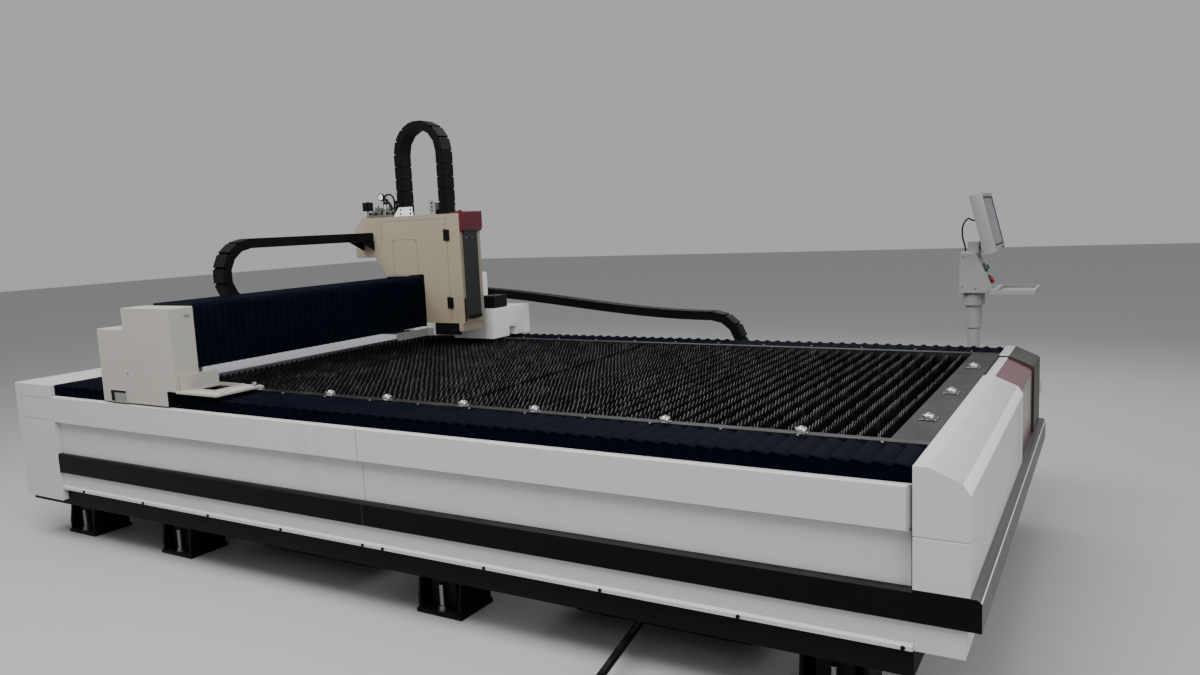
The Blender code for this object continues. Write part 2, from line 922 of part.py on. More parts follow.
def build_gantry_beam():
    """Box beam on two uprights, each with a saddle and bearing blocks on its rail."""
    start = y_near + end_cover_width + gap
    end = far_cover_start - gap
    beam = add_box(
        "gantry_beam",
        (beam_rear, start, beam_section_bottom),
        (beam_front, end, beam_section_top),
        cream_paint,
    )
    for level in y_rail_levels:
        rail = add_box(
            "y_rail",
            (beam_front - 0.010, start + 0.020, level),
            (beam_front + y_rail_depth, end - 0.020, level + y_rail_height),
            bright_steel,
        )
        join(beam, rail)
    saddle_low = beam_top + rail_height + gap + 0.012
    saddle_top = saddle_low + saddle_height
    for side in (-1, 1):
        inner = side * (beam_inner + 0.012)
        outer = side * (far_cover_start - gap)
        saddle = add_box(
            "saddle",
            (gantry_left + saddle_inset, min(inner, outer), saddle_low),
            (gantry_right - saddle_inset, max(inner, outer), saddle_top),
            cream_paint,
        )
        join(beam, saddle)
        upright = add_box(
            "upright",
            (beam_rear + 0.010, min(inner, outer), saddle_top - 0.010),
            (beam_front - 0.010, max(inner, outer), beam_section_bottom + 0.010),
            cream_paint,
        )
        join(beam, upright)
        line = side * rail_line
        for x in (gantry_left + 0.110, gantry_right - 0.110):
            block = add_box(
                "bearing_block",
                (x - 0.055, line - 0.034, beam_top + 0.010),
                (x + 0.055, line + 0.034, saddle_low + 0.010),
                bright_steel,
            )
            slot = add_box(
                "block_slot",
                (x - 0.080, line - rail_width / 2 - gap, beam_top - 0.010),
                (x + 0.080, line + rail_width / 2 + gap, beam_top + gap + rail_height + gap),
                bright_steel,
            )
            join(beam, block)
            cut(beam, slot)
    shelf_level = y_chain_level - 2 * y_chain_radius - chain_thickness / 2 - gap
    shelf = add_box(
        "y_chain_shelf",
        (y_chain_x - chain_width / 2, start + 0.010, shelf_level - shelf_thickness),
        (beam_rear + 0.010, y_chain_fixed + 0.030, shelf_level),
        cream_paint,
    )
    join(beam, shelf)


def end_cover_outline():
    left = gantry_left
    right = gantry_right
    step = end_cover_step_length
    shoulder = end_cover_bottom + tongue_height
    return [
        (left, end_cover_bottom),
        (left, end_cover_top - end_cover_step_height),
        (left + step, end_cover_top - end_cover_step_height),
        (left + step, end_cover_top),
        (right, end_cover_top),
        (right, shoulder),
        (right - tongue_inset, shoulder),
        (right - tongue_inset, end_cover_bottom),
    ]


def build_end_covers():
    outline = end_cover_outline()
    near = add_outline(
        "near_end_cover", outline, "XZ", y_near, y_near + end_cover_width, cream_paint
    )
    slot = add_box(
        "cover_slot",
        (gantry_left + 0.085, y_near - 0.010, end_cover_bottom + 0.018),
        (gantry_left + 0.160, y_near + 0.040, end_cover_bottom + 0.052),
        cream_paint,
    )
    cut(near, slot)
    far = add_outline("far_end_cover", outline, "XZ", far_cover_start, y_far, cream_paint)
    reach = gantry_right + far_box_reach
    box = add_box(
        "far_box",
        (gantry_right + 0.001, carriage_far + far_box_clearance, far_box_bottom),
        (reach, y_far + 0.020, far_box_top),
        white_paint,
    )
    root = add_box(
        "far_box_root",
        (gantry_right - 0.010, far_cover_start + 0.010, cover_top + 0.030),
        (gantry_right + 0.010, y_far - 0.010, far_box_top - 0.010),
        white_paint,
    )
    join(far, root)
    notch = add_box(
        "far_box_notch",
        (reach - 0.060, y_far - 0.200, cover_top - 0.010),
        (reach + 0.010, y_far - 0.130, cover_top + 0.060),
        white_paint,
    )
    join(far, box)
    cut(far, notch)
    bracket = add_box(
        "x_chain_bracket",
        (gantry_mid - 0.160, y_far - 0.010, x_chain_start_level - chain_thickness / 2 - 0.012),
        (gantry_mid - 0.080, x_chain_y + chain_width / 2, x_chain_start_level - chain_thickness / 2 - gap),
        black_paint,
    )
    join(far, bracket)


def build_shield():
    """Cream step under the beam's near end, with a framed window reaching over the bellows."""
    low = shield_level
    top = low + shield_thickness
    near = y_near
    far = y_near + shield_width
    frame = add_box(
        "shield_frame",
        (gantry_right + gap, near, low),
        (gantry_right + shield_reach, far, top),
        cream_paint,
    )
    window = add_box(
        "shield_window",
        (gantry_right + 0.075, near + 0.050, low - 0.010),
        (gantry_right + shield_reach - 0.060, far - 0.060, top + 0.010),
        cream_paint,
    )
    step = add_box(
        "shield_step",
        (gantry_right - tongue_inset * 0.5, y_near + end_cover_width + gap, low),
        (gantry_right + gap + 0.012, y_near + shield_width - 0.020, low + shield_step_height),
        cream_paint,
    )
    cut(frame, window)
    join(frame, step)


def build_gantry():
    build_gantry_beam()
    build_end_covers()
    build_shield()
    start = y_near + end_cover_width + gap
    near_count = round((carriage_y - start) / beam_bellows_pitch)
    build_beam_bellows("beam_bellows_near", start, carriage_y - gap, near_count)
    far_start = carriage_far + gap
    build_beam_bellows("beam_bellows_far", far_start, far_cover_start - gap, 8)


# Carriage and cutting head

def carriage_outline():
    front_back = gantry_right + carriage_front_clearance
    slope_end = beam_rear + carriage_slope_foot
    return [
        (carriage_front, carriage_bottom),
        (carriage_front, carriage_top),
        (carriage_rear + carriage_rear_chamfer, carriage_top),
        (carriage_rear, carriage_top - carriage_rear_chamfer),
        (carriage_rear, carriage_rear_bottom),
        (slope_end - carriage_slope, carriage_rear_bottom),
        (slope_end, carriage_saddle_bottom),
        (front_back, carriage_saddle_bottom),
        (front_back, carriage_bottom),
    ]


def door_outline(grow):
    """The L-shaped door round the carriage's near front corner, seen from above."""
    left = carriage_front - door_width - grow
    near = carriage_y
    front = carriage_front
    return [
        (left, near - grow),
        (front + grow, near - grow),
        (front + grow, near + door_return + grow),
        (front - door_thickness - grow, near + door_return + grow),
        (front - door_thickness - grow, near + door_thickness + grow),
        (left, near + door_thickness + grow),
    ]


def add_carriage_bearing(housing, level):
    """A bearing block inside the carriage, gripping one of the beam's two rails."""
    block = add_box(
        "carriage_block",
        (beam_front + 0.003, carriage_y + 0.030, level - 0.014),
        (gantry_right + 0.018, carriage_far - 0.030, level + y_rail_height + 0.014),
        bright_steel,
    )
    slot = add_box(
        "carriage_slot",
        (beam_front - 0.010, carriage_y + 0.020, level - gap),
        (beam_front + y_rail_depth + gap, carriage_far - 0.020, level + y_rail_height + gap),
        bright_steel,
    )
    join(housing, block)
    cut(housing, slot)


def build_carriage():
    housing = add_outline(
        "carriage_housing", carriage_outline(), "XZ", carriage_y, carriage_far, cream_paint
    )
    pocket = add_outline(
        "door_pocket",
        door_outline(gap),
        "XY",
        carriage_bottom + door_margin - gap,
        carriage_top - door_margin + gap,
        cream_paint,
    )
    cut(housing, pocket)
    apron_front = carriage_front - apron_setback
    apron = add_box(
        "carriage_apron",
        (apron_front - apron_depth, carriage_y - 0.008, carriage_bottom - apron_drop),
        (apron_front, carriage_far - 0.004, carriage_bottom + 0.004),
        cream_paint,
    )
    join(housing, apron)
    skirt = add_box(
        "head_skirt",
        (apron_front - head_skirt_length, carriage_y + 0.006, carriage_bottom - head_skirt_drop),
        (apron_front - apron_depth - 0.002, carriage_y + 0.012, carriage_bottom + 0.004),
        black_paint,
    )
    join(housing, skirt)
    slot_reach = head_body_radius + 0.004
    slot = add_box(
        "head_slot",
        (head_x - slot_reach, head_y - slot_reach, carriage_bottom - 0.010),
        (apron_front - apron_depth - 0.002, head_y + slot_reach, column_bottom + head_body_length + 0.004),
        black_paint,
    )
    cut(housing, slot)
    window = add_box(
        "head_arm_window",
        (head_x, head_y - slot_reach, arm_low() - head_travel - 0.004),
        (carriage_front + 0.010, head_y + slot_reach, column_bottom + head_body_length + 0.004),
        black_paint,
    )
    cut(housing, window)
    well = add_box(
        "chain_well",
        (
            z_chain_right - chain_thickness / 2 - 0.003,
            head_y - chain_width / 2 - 0.003,
            carriage_top - z_chain_well,
        ),
        (z_chain_right + chain_thickness / 2 + 0.003, head_y + chain_width / 2 + 0.003, carriage_top + 0.010),
        black_paint,
    )
    cut(housing, well)
    for level in y_rail_levels:
        add_carriage_bearing(housing, level)
    pivot = (carriage_front - door_width, carriage_y - hinge_radius - gap, carriage_bottom)
    door = add_outline(
        "service_door",
        door_outline(0.0),
        "XY",
        carriage_bottom + door_margin,
        carriage_top - door_margin,
        cream_paint,
        origin=pivot,
    )
    for level in (carriage_bottom + 0.090, carriage_top - 0.150):
        knuckle = add_cylinder(
            "door_hinge", (pivot[0], pivot[1], level), hinge_radius, hinge_height, black_paint, sides=8
        )
        leaf = add_box(
            "hinge_leaf",
            (pivot[0] + gap, pivot[1] - hinge_radius * 0.4, level),
            (pivot[0] + hinge_radius * 3.5, carriage_y + 0.002, level + hinge_height),
            black_paint,
        )
        join(door, knuckle)
        join(door, leaf)


def arm_low():
    """Underside of the arm that carries the cutting head, with the head at the top of its travel."""
    return column_bottom + head_body_length - head_arm_height


def build_head_cap(start):
    """Moulded cover over the top of the head's slide: rounded front, bevelled foot, tail on the roof."""
    low = head_cap_bottom
    high = low + head_cap_height
    face = start + head_cap_depth
    rounding = arc((face - 0.012, high - 0.012), 0.012, 0, 90, 3)
    outline = [
        (start, low),
        (face - 0.010, low),
        (face, low + 0.022),
        *rounding,
        (start, high),
    ]
    middle = head_y + head_cap_offset
    near = middle - head_cap_width / 2
    cap = add_outline("head_cap", outline, "XZ", near, near + head_cap_width, lamp_plastic)
    tail = [
        (start + 0.004, carriage_top + gap),
        (start + 0.004, high - 0.002),
        (start - 0.012, high - 0.002),
        (start - head_cap_tail, carriage_top + 0.004),
        (start - head_cap_tail, carriage_top + gap),
    ]
    half = column_width / 2
    join(cap, add_outline("cap_tail", tail, "XZ", head_y - half, head_y + half, lamp_plastic))
    pocket = add_box(
        "cap_pocket",
        (start - 0.010, head_y - half - 0.001, low - 0.010),
        (start + column_depth + 0.001, head_y + half + 0.001, column_top + 0.003),
        lamp_plastic,
    )
    cut(cap, pocket)


def build_cutting_head():
    start = carriage_front + gap
    add_box(
        "head_column",
        (start, head_y - column_width / 2, column_bottom),
        (start + column_depth, head_y + column_width / 2, column_top),
        grey_paint,
        bevel=0.003,
    )
    build_head_cap(start)
    nozzle_top = nozzle_tip + nozzle_length
    head = add_cylinder(
        "cutting_head",
        (head_x, head_y, nozzle_top - 0.004),
        head_body_radius,
        column_bottom + head_body_length - nozzle_top + 0.004,
        bright_steel,
        sides=16,
    )
    nozzle = add_cylinder(
        "nozzle",
        (head_x, head_y, nozzle_tip),
        0.004,
        nozzle_length,
        bright_steel,
        sides=16,
        top_radius=head_body_radius * 0.8,
    )
    join(head, nozzle)
    arm = add_box(
        "head_arm",
        (head_x, head_y - head_body_radius * 0.6, arm_low()),
        (start - gap, head_y + head_body_radius * 0.6, arm_low() + head_arm_height - 0.002),
        bright_steel,
    )
    join(head, arm)


def build_gas_unit():
    """Gas valve block on the carriage roof: manifold, pressure gauge and regulator bowl."""
    base = carriage_top + gap
    left = carriage_rear + carriage_rear_chamfer + 0.010
    block = add_box(
        "gas_valve_block",
        (left, head_y - 0.045, base),
        (left + 0.160, head_y + 0.045, base + 0.030),
        bright_steel,
    )
    switch_box = add_box(
        "pressure_switch",
        (left + 0.012, head_y - 0.030, base + 0.025),
        (left + 0.062, head_y + 0.020, base + 0.080),
        black_plastic,
    )
    gauge = add_cylinder(
        "gauge", (left + 0.105, head_y - 0.038, base + 0.075), 0.026, 0.026, bright_steel, axis="Y", sides=16
    )
    stem = add_cylinder(
        "gauge_stem", (left + 0.105, head_y - 0.022, base + 0.020), 0.008, 0.045, bright_steel, sides=8
    )
    for helper in (switch_box, stem, gauge):
        join(block, helper)


# Drag chains

def chain_rings(line, across, width, thickness):
    """Rings along a chain's middle line: each link is a full box with a narrower joint after it."""
    rings = []
    for i, (point, along) in enumerate(line):
        normal = along.cross(across).normalized()
        narrow = i % 3 == 2
        half_w = width / 2 * (0.86 if narrow else 1.0)
        half_t = thickness / 2 * (0.80 if narrow else 1.0)
        rings.append(
            [
                point + across * half_w + normal * half_t,
                point - across * half_w + normal * half_t,
                point - across * half_w - normal * half_t,
                point + across * half_w - normal * half_t,
            ]
        )
    return rings


def straight_line(start, end):
    """Stations along a straight run: the two ends of each link and the joint between links."""
    start, end = Vector(start), Vector(end)
    along = (end - start).normalized()
    length = (end - start).length
    links = max(2, round(length / chain_pitch))
    step = length / links
    stations = []
    for i in range(links):
        stations.append((start + along * (i * step + step * 0.06), along))
        stations.append((start + along * (i * step + step * 0.80), along))
        if i < links - 1:
            stations.append((start + along * (i * step + step * 0.93), along))
    stations[0] = (start, along)
    stations[-1] = (end, along)
    return stations


def sagging_line(start, end):
    """Stations of a run that leaves its bracket level, sinks, and meets its loop level again."""
    stations = []
    for point, along in straight_line(start, (end.x, end.y, start.z)):
        share = (point.x - start.x) / (end.x - start.x)
        ease = share * share * (3 - 2 * share)
        slope = 6 * share * (1 - share) * (end.z - start.z) / (end.x - start.x)
        lowered = Vector((point.x, point.y, start.z + (end.z - start.z) * ease))
        stations.append((lowered, Vector((1, 0, slope)).normalized()))
    return stations


def arc_line(centre, radius, first, last, u, v):
    """Stations along an arc in the plane of u and v, with angles in degrees."""
    length = abs(math.radians(last - first)) * radius
    links = max(4, round(length / chain_pitch))
    stations = []
    sign = 1.0 if last > first else -1.0
    for i in range(links):
        marks = [(i + 0.06) / links, (i + 0.80) / links]
        if i == 0:
            marks[0] = 0.0
        if i < links - 1:
            marks.append((i + 0.93) / links)
        else:
            marks[1] = 1.0
        for share in marks:
            angle = math.radians(first + (last - first) * share)
            radial = u * math.cos(angle) + v * math.sin(angle)
            tangent = (v * math.cos(angle) - u * math.sin(angle)) * sign
            stations.append((centre + radial * radius, tangent))
    return stations


def add_chain(name, line, across):
    rings = chain_rings(line, Vector(across), chain_width, chain_thickness)
    return add_object(name, loft_mesh(name, rings), chain_plastic)


def build_x_chain():
    """Long-axis chain on the far side: from the gantry over a loop into its tray."""
    along_x = Vector((1, 0, 0))
    up = Vector((0, 0, 1))
    level = x_chain_loop_level
    radius = x_chain_radius
    centre = Vector((x_chain_loop, x_chain_y, level - radius))
    start = Vector((gantry_mid - 0.100, x_chain_y, x_chain_start_level))
    end = Vector((x_chain_loop - gap, x_chain_y, level))
    add_chain("x_chain_upper", sagging_line(start, end), (0, 1, 0))
    add_chain("x_chain_loop", arc_line(centre, radius, 90, -90, along_x, up), (0, 1, 0))
    low = level - 2 * radius
    add_chain(
        "x_chain_lower",
        straight_line((x_chain_loop - gap, x_chain_y, low), (x_chain_fixed, x_chain_y, low)),
        (0, 1, 0),
    )
    base = low - chain_thickness / 2 - gap
    near = y_far + gap
    far = x_chain_y + chain_width / 2 + x_tray_clearance
    skin = x_tray_sheet
    trough = [
        (near, base - skin),
        (far, base - skin),
        (far, base + x_tray_height),
        (far - skin, base + x_tray_height),
        (far - skin, base),
        (near + skin, base),
        (near + skin, base + x_tray_height),
        (near, base + x_tray_height),
    ]
    add_outline("x_chain_tray", trough, "YZ", x_chain_fixed - 0.060, cap_face, white_paint)


def build_y_chain():
    """Cross-axis chain behind the beam: from the carriage over a loop to the beam's rear shelf."""
    back = Vector((0, -1, 0))
    up = Vector((0, 0, 1))
    x = y_chain_x
    level = y_chain_level
    centre = Vector((x, y_chain_loop, level - y_chain_radius))
    add_chain(
        "y_chain_upper",
        straight_line((x, carriage_y - gap, level), (x, y_chain_loop + gap, level)),
        (1, 0, 0),
    )
    add_chain("y_chain_loop", arc_line(centre, y_chain_radius, 90, -90, back, up), (1, 0, 0))
    low = level - 2 * y_chain_radius
    add_chain(
        "y_chain_lower",
        straight_line((x, y_chain_loop + gap, low), (x, y_chain_fixed, low)),
        (1, 0, 0),
    )


def build_z_chain():
    """Head chain: up from the carriage roof, over, and down behind the head cap."""
    right = z_chain_right
    left = right - z_chain_span
    radius = z_chain_span / 2
    middle = Vector((left + radius, head_y, z_chain_top - chain_thickness / 2 - radius))
    along_x = Vector((1, 0, 0))
    up = Vector((0, 0, 1))
    base = carriage_top + gap
    line = straight_line((left, head_y, base), (left, head_y, middle.z))
    line += arc_line(middle, radius, 180, 0, along_x, up)[1:]
    line += straight_line((right, head_y, middle.z), (right, head_y, base))[1:]
    add_chain("z_chain", line, (0, 1, 0))


# Console

def build_console_post():
    post = add_cylinder(
        "console_post",
        (console_x, console_y, stripe_bottom),
        post_radius,
        sleeve_bottom - stripe_bottom + 0.010,
        console_paint,
        sides=16,
    )
    sleeve = add_cylinder(
        "post_sleeve",
        (console_x, console_y, sleeve_bottom),
        sleeve_radius,
        collar_bottom - sleeve_bottom + 0.010,
        console_paint,
        sides=16,
    )
    collar = add_cylinder(
        "post_collar",
        (console_x, console_y, collar_bottom),
        collar_radius,
        console_bottom - gap - collar_bottom,
        console_paint,
        sides=16,
    )
    arm = add_box(
        "post_arm",
        (console_x - 0.040, y_far + gap, stripe_bottom + 0.010),
        (console_x + 0.040, console_y + 0.030, stripe_bottom + 0.070),
        console_paint,
    )
    for helper in (sleeve, collar, arm):
        join(post, helper)


def circle_ring(radius, height, sides=12):
    ring = []
    for i in range(sides):
        angle = math.radians(360 * i / sides)
        ring.append(Vector((radius * math.cos(angle), radius * math.sin(angle), height)))
    return ring


def console_face(share):
    """A point on the sloping control face, as a share of its length from the bottom."""
    low = Vector((console_x + console_depth * 0.62, 0, console_bottom + 0.030))
    high = Vector((console_x + console_depth * 0.14, 0, console_bottom + console_height - 0.012))
    return low + (high - low) * share


def build_console_box():
    low = console_face(0.0)
    high = console_face(1.0)
    left = console_x - console_depth * 0.40
    outline = [
        (left, console_bottom),
        (low.x, console_bottom),
        (low.x, low.z),
        (high.x, high.z),
        (high.x - 0.010, console_bottom + console_height),
        (left + 0.006, console_bottom + console_height),
        (left, console_bottom + console_height - 0.010),
    ]
    box = add_outline(
        "console_box",
        outline,
        "XZ",
        console_y - console_width / 2,
        console_y + console_width / 2,
        console_paint,
    )
    for side in (-1, 1):
        ear = add_box(
            "monitor_ear",
            (high.x - 0.046, console_y + side * 0.040 - 0.006, console_bottom + console_height - 0.010),
            (high.x + 0.006, console_y + side * 0.040 + 0.006, console_bottom + console_height + 0.050),
            console_paint,
        )
        join(box, ear)
    slope = (high - low).normalized()
    normal = Vector((slope.z, 0, -slope.x))
    turn = normal.to_track_quat("Z", "Y").to_matrix().to_4x4()
    places = (
        ("emergency_stop", 0.20, 0.0, stop_radius, red_plastic),
        ("start_button", 0.56, -0.026, button_radius, green_plastic),
        ("pause_button", 0.56, 0.026, button_radius, black_plastic),
    )
    for name, share, sideways, radius, material in places:
        seat = console_face(share) + Vector((0, console_y + sideways, 0))
        place = Matrix.Translation(seat) @ turn
        stem = radius * 0.6
        profile = (
            (stem, -0.004),
            (stem, button_length * 0.4),
            (radius, button_length * 0.4),
            (radius, button_length * 0.85),
            (radius * 0.8, button_length),
        )
        mesh = loft_mesh(name, [circle_ring(size, height) for size, height in profile])
        mesh.transform(place)
        add_object(name, mesh, material, origin=seat, smooth=True)
        hole_mesh = loft_mesh(name + "_hole", [circle_ring(stem + gap, -0.009), circle_ring(stem + gap, 0.010)])
        hole_mesh.transform(place)
        cut(box, add_object(name + "_hole", hole_mesh, black_plastic))
    return high


def build_monitor(high):
    """A flat panel on its tilt arm, leaning back; the arm sits between the ears on the box."""
    pivot = Vector((high.x - 0.010, console_y, console_bottom + console_height + 0.034))
    tilt = Matrix.Translation(pivot) @ Matrix.Rotation(math.radians(-monitor_lean), 4, "Y")
    low = Vector((0.045, -monitor_width / 2, -0.060))
    panel_mesh = box_mesh(
        "monitor", low, low + Vector((monitor_thickness, monitor_width, monitor_height))
    )
    panel_mesh.transform(tilt)
    panel = add_object("monitor", panel_mesh, console_paint, origin=pivot)
    screen_mesh = box_mesh(
        "screen_recess",
        low + Vector((monitor_thickness - 0.003, 0.018, 0.030)),
        low + Vector((monitor_thickness + 0.020, monitor_width - 0.018, monitor_height - 0.018)),
    )
    screen_mesh.transform(tilt)
    screen = add_object("screen_recess", screen_mesh, black_plastic)
    cut(panel, screen)
    arm_mesh = box_mesh("monitor_arm", (-0.014, gap - 0.034, -0.012), (0.055, 0.034 - gap, 0.016))
    arm_mesh.transform(tilt)
    arm = add_object("monitor_arm", arm_mesh, console_paint)
    join(panel, arm)
    round_edges(panel, 0.002)


def build_monitor_cable(high):
    """Black cable looping from the top of the box to the back of the monitor."""
    lean = math.radians(monitor_lean)
    pivot = Vector((high.x - 0.010, console_y, console_bottom + console_height + 0.034))
    outward = Vector((-math.cos(lean), 0, -math.sin(lean)))
    upward = Vector((-math.sin(lean), 0, math.cos(lean)))
    end = pivot - outward * (0.045 - gap) + upward * 0.120
    start = Vector((console_x - 0.045, console_y + 0.025, console_bottom + console_height + gap))
    points = [
        start,
        start + Vector((-0.002, 0.0, 0.025)),
        start + Vector((-0.014, -0.004, 0.075)),
        start + Vector((-0.012, -0.010, 0.130)),
        start + Vector((0.012, -0.018, 0.165)),
        end + outward * 0.035 + Vector((0, 0, 0.004)),
        end + outward * 0.012,
        end,
    ]
    add_tube("monitor_cable", points, cable_radius, black_plastic, resolution=1, origin=start)


def build_keyboard():
    low = console_face(0.0)
    pivot = Vector((low.x + 0.010, console_y, console_bottom + 0.012))
    tray = add_box(
        "keyboard_tray",
        (low.x + gap, console_y - keyboard_width / 2, console_bottom),
        (low.x + keyboard_reach, console_y + keyboard_width / 2, console_bottom + keyboard_thickness),
        console_paint,
        origin=pivot,
    )
    pocket = add_box(
        "keyboard_pocket",
        (low.x + 0.030, console_y - keyboard_width / 2 + 0.012, console_bottom + 0.008),
        (
            low.x + keyboard_reach - 0.012,
            console_y + keyboard_width / 2 - 0.012,
            console_bottom + keyboard_thickness + 0.010,
        ),
        console_paint,
    )
    cut(tray, pocket)


def build_console():
    build_console_post()
    high = build_console_box()
    build_monitor(high)
    build_monitor_cable(high)
    build_keyboard()


# Slag trays

def build_slag_tray(name, x):
    """A low tapered tray on two skids, open at the top."""
    half = tray_length / 2
    depth = tray_depth / 2
    skid = 0.020

    def ring(z, inset, wall):
        return [
            Vector((x - half + inset + wall, -depth + wall + inset * 0.5, z)),
            Vector((x + half - inset - wall, -depth + wall + inset * 0.5, z)),
            Vector((x + half - inset - wall, depth - wall - inset * 0.5, z)),
            Vector((x - half + inset + wall, depth - wall - inset * 0.5, z)),
        ]

    rings = [
        ring(skid, tray_taper, 0.0),
        ring(tray_height, 0.0, 0.0),
        ring(tray_height, 0.0, tray_wall),
        ring(skid + tray_wall, tray_taper, tray_wall),
    ]
    tray = add_object(name, loft_mesh(name, rings), frame_paint)
    for side in (-1, 1):
        runner = add_box(
            "skid",
            (x + side * half * 0.6 - 0.020, -depth + 0.060, 0.0),
            (x + side * half * 0.6 + 0.020, depth - 0.060, skid + tray_wall * 0.5),
            frame_paint,
        )
        join(tray, runner)


def build_slag_trays():
    names = ("slag_tray_left", "slag_tray_right")
    for name, x in zip(names, tray_places):
        build_slag_tray(name, x)
    front = -tray_depth / 2
    x = tray_places[1]
    rise = drawbar_height
    lug = add_box(
        "drawbar_lug",
        (x - lug_width / 2, front - lug_reach, rise - lug_width / 2),
        (x + lug_width / 2, front + 0.030, rise + lug_width * 0.3),
        frame_paint,
    )
    join(bpy.data.objects[names[1]], lug)
    start = Vector((x, front - lug_reach - drawbar_clearance, rise))
    low = Vector((x + 0.030, front - drawbar_reach, drawbar_radius))
    points = [start, start + (low - start) * 0.5, low, low + Vector((0, -0.030, 0))]
    add_tube("tray_drawbar", points, drawbar_radius, frame_paint, origin=start)


build_bed_frame()
build_side_covers()
build_left_cover()
build_right_end()
build_table()
build_bellows()
build_gantry()
build_carriage()
build_cutting_head()
build_gas_unit()
build_x_chain()
build_y_chain()
build_z_chain()
build_console()
build_slag_trays()
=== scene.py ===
# Looks of the open flatbed laser cutting machine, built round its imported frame.
# Metres, +Z up, +X along the bed towards the console, -Y is the operator's side.

import json
import math
import random

import bmesh
import bpy
from mathutils import Matrix, Vector


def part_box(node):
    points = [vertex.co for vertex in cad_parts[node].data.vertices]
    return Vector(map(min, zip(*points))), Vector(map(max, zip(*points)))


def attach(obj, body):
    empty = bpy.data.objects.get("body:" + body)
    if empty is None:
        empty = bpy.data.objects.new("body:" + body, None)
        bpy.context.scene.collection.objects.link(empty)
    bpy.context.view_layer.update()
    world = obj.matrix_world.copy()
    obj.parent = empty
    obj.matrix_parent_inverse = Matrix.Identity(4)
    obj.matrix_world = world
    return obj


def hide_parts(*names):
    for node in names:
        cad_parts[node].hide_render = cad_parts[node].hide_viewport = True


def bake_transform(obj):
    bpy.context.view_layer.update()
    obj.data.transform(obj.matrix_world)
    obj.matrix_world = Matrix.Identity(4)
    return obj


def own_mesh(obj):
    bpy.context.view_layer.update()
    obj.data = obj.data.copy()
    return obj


print("loading the frame")
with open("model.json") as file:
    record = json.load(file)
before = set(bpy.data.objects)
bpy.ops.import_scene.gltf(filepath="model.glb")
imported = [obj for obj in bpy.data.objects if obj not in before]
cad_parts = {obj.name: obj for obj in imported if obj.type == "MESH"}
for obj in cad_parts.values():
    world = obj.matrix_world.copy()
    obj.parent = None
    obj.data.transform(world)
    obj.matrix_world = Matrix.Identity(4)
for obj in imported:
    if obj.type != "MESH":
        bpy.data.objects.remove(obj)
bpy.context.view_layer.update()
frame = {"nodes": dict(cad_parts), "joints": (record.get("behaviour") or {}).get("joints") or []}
frameNodes = frame["nodes"]
random.seed(7)

gap = 0.0003  # clearance that the solids keep
axisX = Vector((1, 0, 0))
axisY = Vector((0, 1, 0))
axisZ = Vector((0, 0, 1))


# Shader boards

class Wire:
    def __init__(self, board, socket):
        self.board = board
        self.socket = socket

    def __add__(self, other):
        return self.board.math("ADD", self, other)

    def __rsub__(self, other):
        return self.board.math("SUBTRACT", other, self)

    def __mul__(self, other):
        return self.board.math("MULTIPLY", self, other)


class Board:
    def __init__(self, name):
        self.material = bpy.data.materials.new(name)
        self.material.use_nodes = True
        self.tree = self.material.node_tree
        self.shader = self.tree.nodes["Principled BSDF"]

    def feed(self, socket, value):
        if isinstance(value, Wire):
            self.tree.links.new(value.socket, socket)
        elif socket.type == "RGBA":
            socket.default_value = (*value, 1.0)
        else:
            socket.default_value = value

    def node(self, kind, settings, sockets, output=0):
        made = self.tree.nodes.new(kind)
        for key, value in settings.items():
            setattr(made, key, value)
        for key, value in sockets.items():
            self.feed(made.inputs[key], value)
        return Wire(self, made.outputs[output])

    def math(self, operation, first, second):
        return self.node("ShaderNodeMath", {"operation": operation}, {0: first, 1: second})

    def place(self, stretch=(1.0, 1.0, 1.0)):
        point = self.node("ShaderNodeTexCoord", {}, {}, "Object")
        return self.node("ShaderNodeVectorMath", {"operation": "MULTIPLY"}, {0: point, 1: stretch})

    def along(self, axis):
        return self.node("ShaderNodeSeparateXYZ", {}, {0: self.place()}, "XYZ".index(axis))

    def facing(self, axis):
        normal = self.node("ShaderNodeNewGeometry", {}, {}, "Normal")
        return self.node("ShaderNodeSeparateXYZ", {}, {0: normal}, "XYZ".index(axis))

    def noise(self, scale, detail=4.0, rough=0.55, stretch=(1.0, 1.0, 1.0)):
        return self.node(
            "ShaderNodeTexNoise",
            {},
            {"Vector": self.place(stretch), "Scale": scale, "Detail": detail, "Roughness": rough},
        )

    def wave(self, scale, axis):
        settings = {"wave_type": "BANDS", "bands_direction": axis}
        return self.node("ShaderNodeTexWave", settings, {"Vector": self.place(), "Scale": scale}, "Fac")

    def step(self, value, low, high):
        settings = {"interpolation_type": "SMOOTHSTEP"}
        return self.node("ShaderNodeMapRange", settings, {0: value, 1: low, 2: high})

    def blend(self, share, under, over):
        settings = {"data_type": "RGBA"}
        return self.node("ShaderNodeMix", settings, {0: share, 6: under, 7: over}, 2)

    def bump(self, height, strength, distance):
        return self.node(
            "ShaderNodeBump", {}, {"Strength": strength, "Distance": distance, "Height": height}
        )

    def finish(self, **sockets):
        for key, value in sockets.items():
            self.feed(self.shader.inputs[key.replace("_", " ")], value)
        return self.material


# Finishes

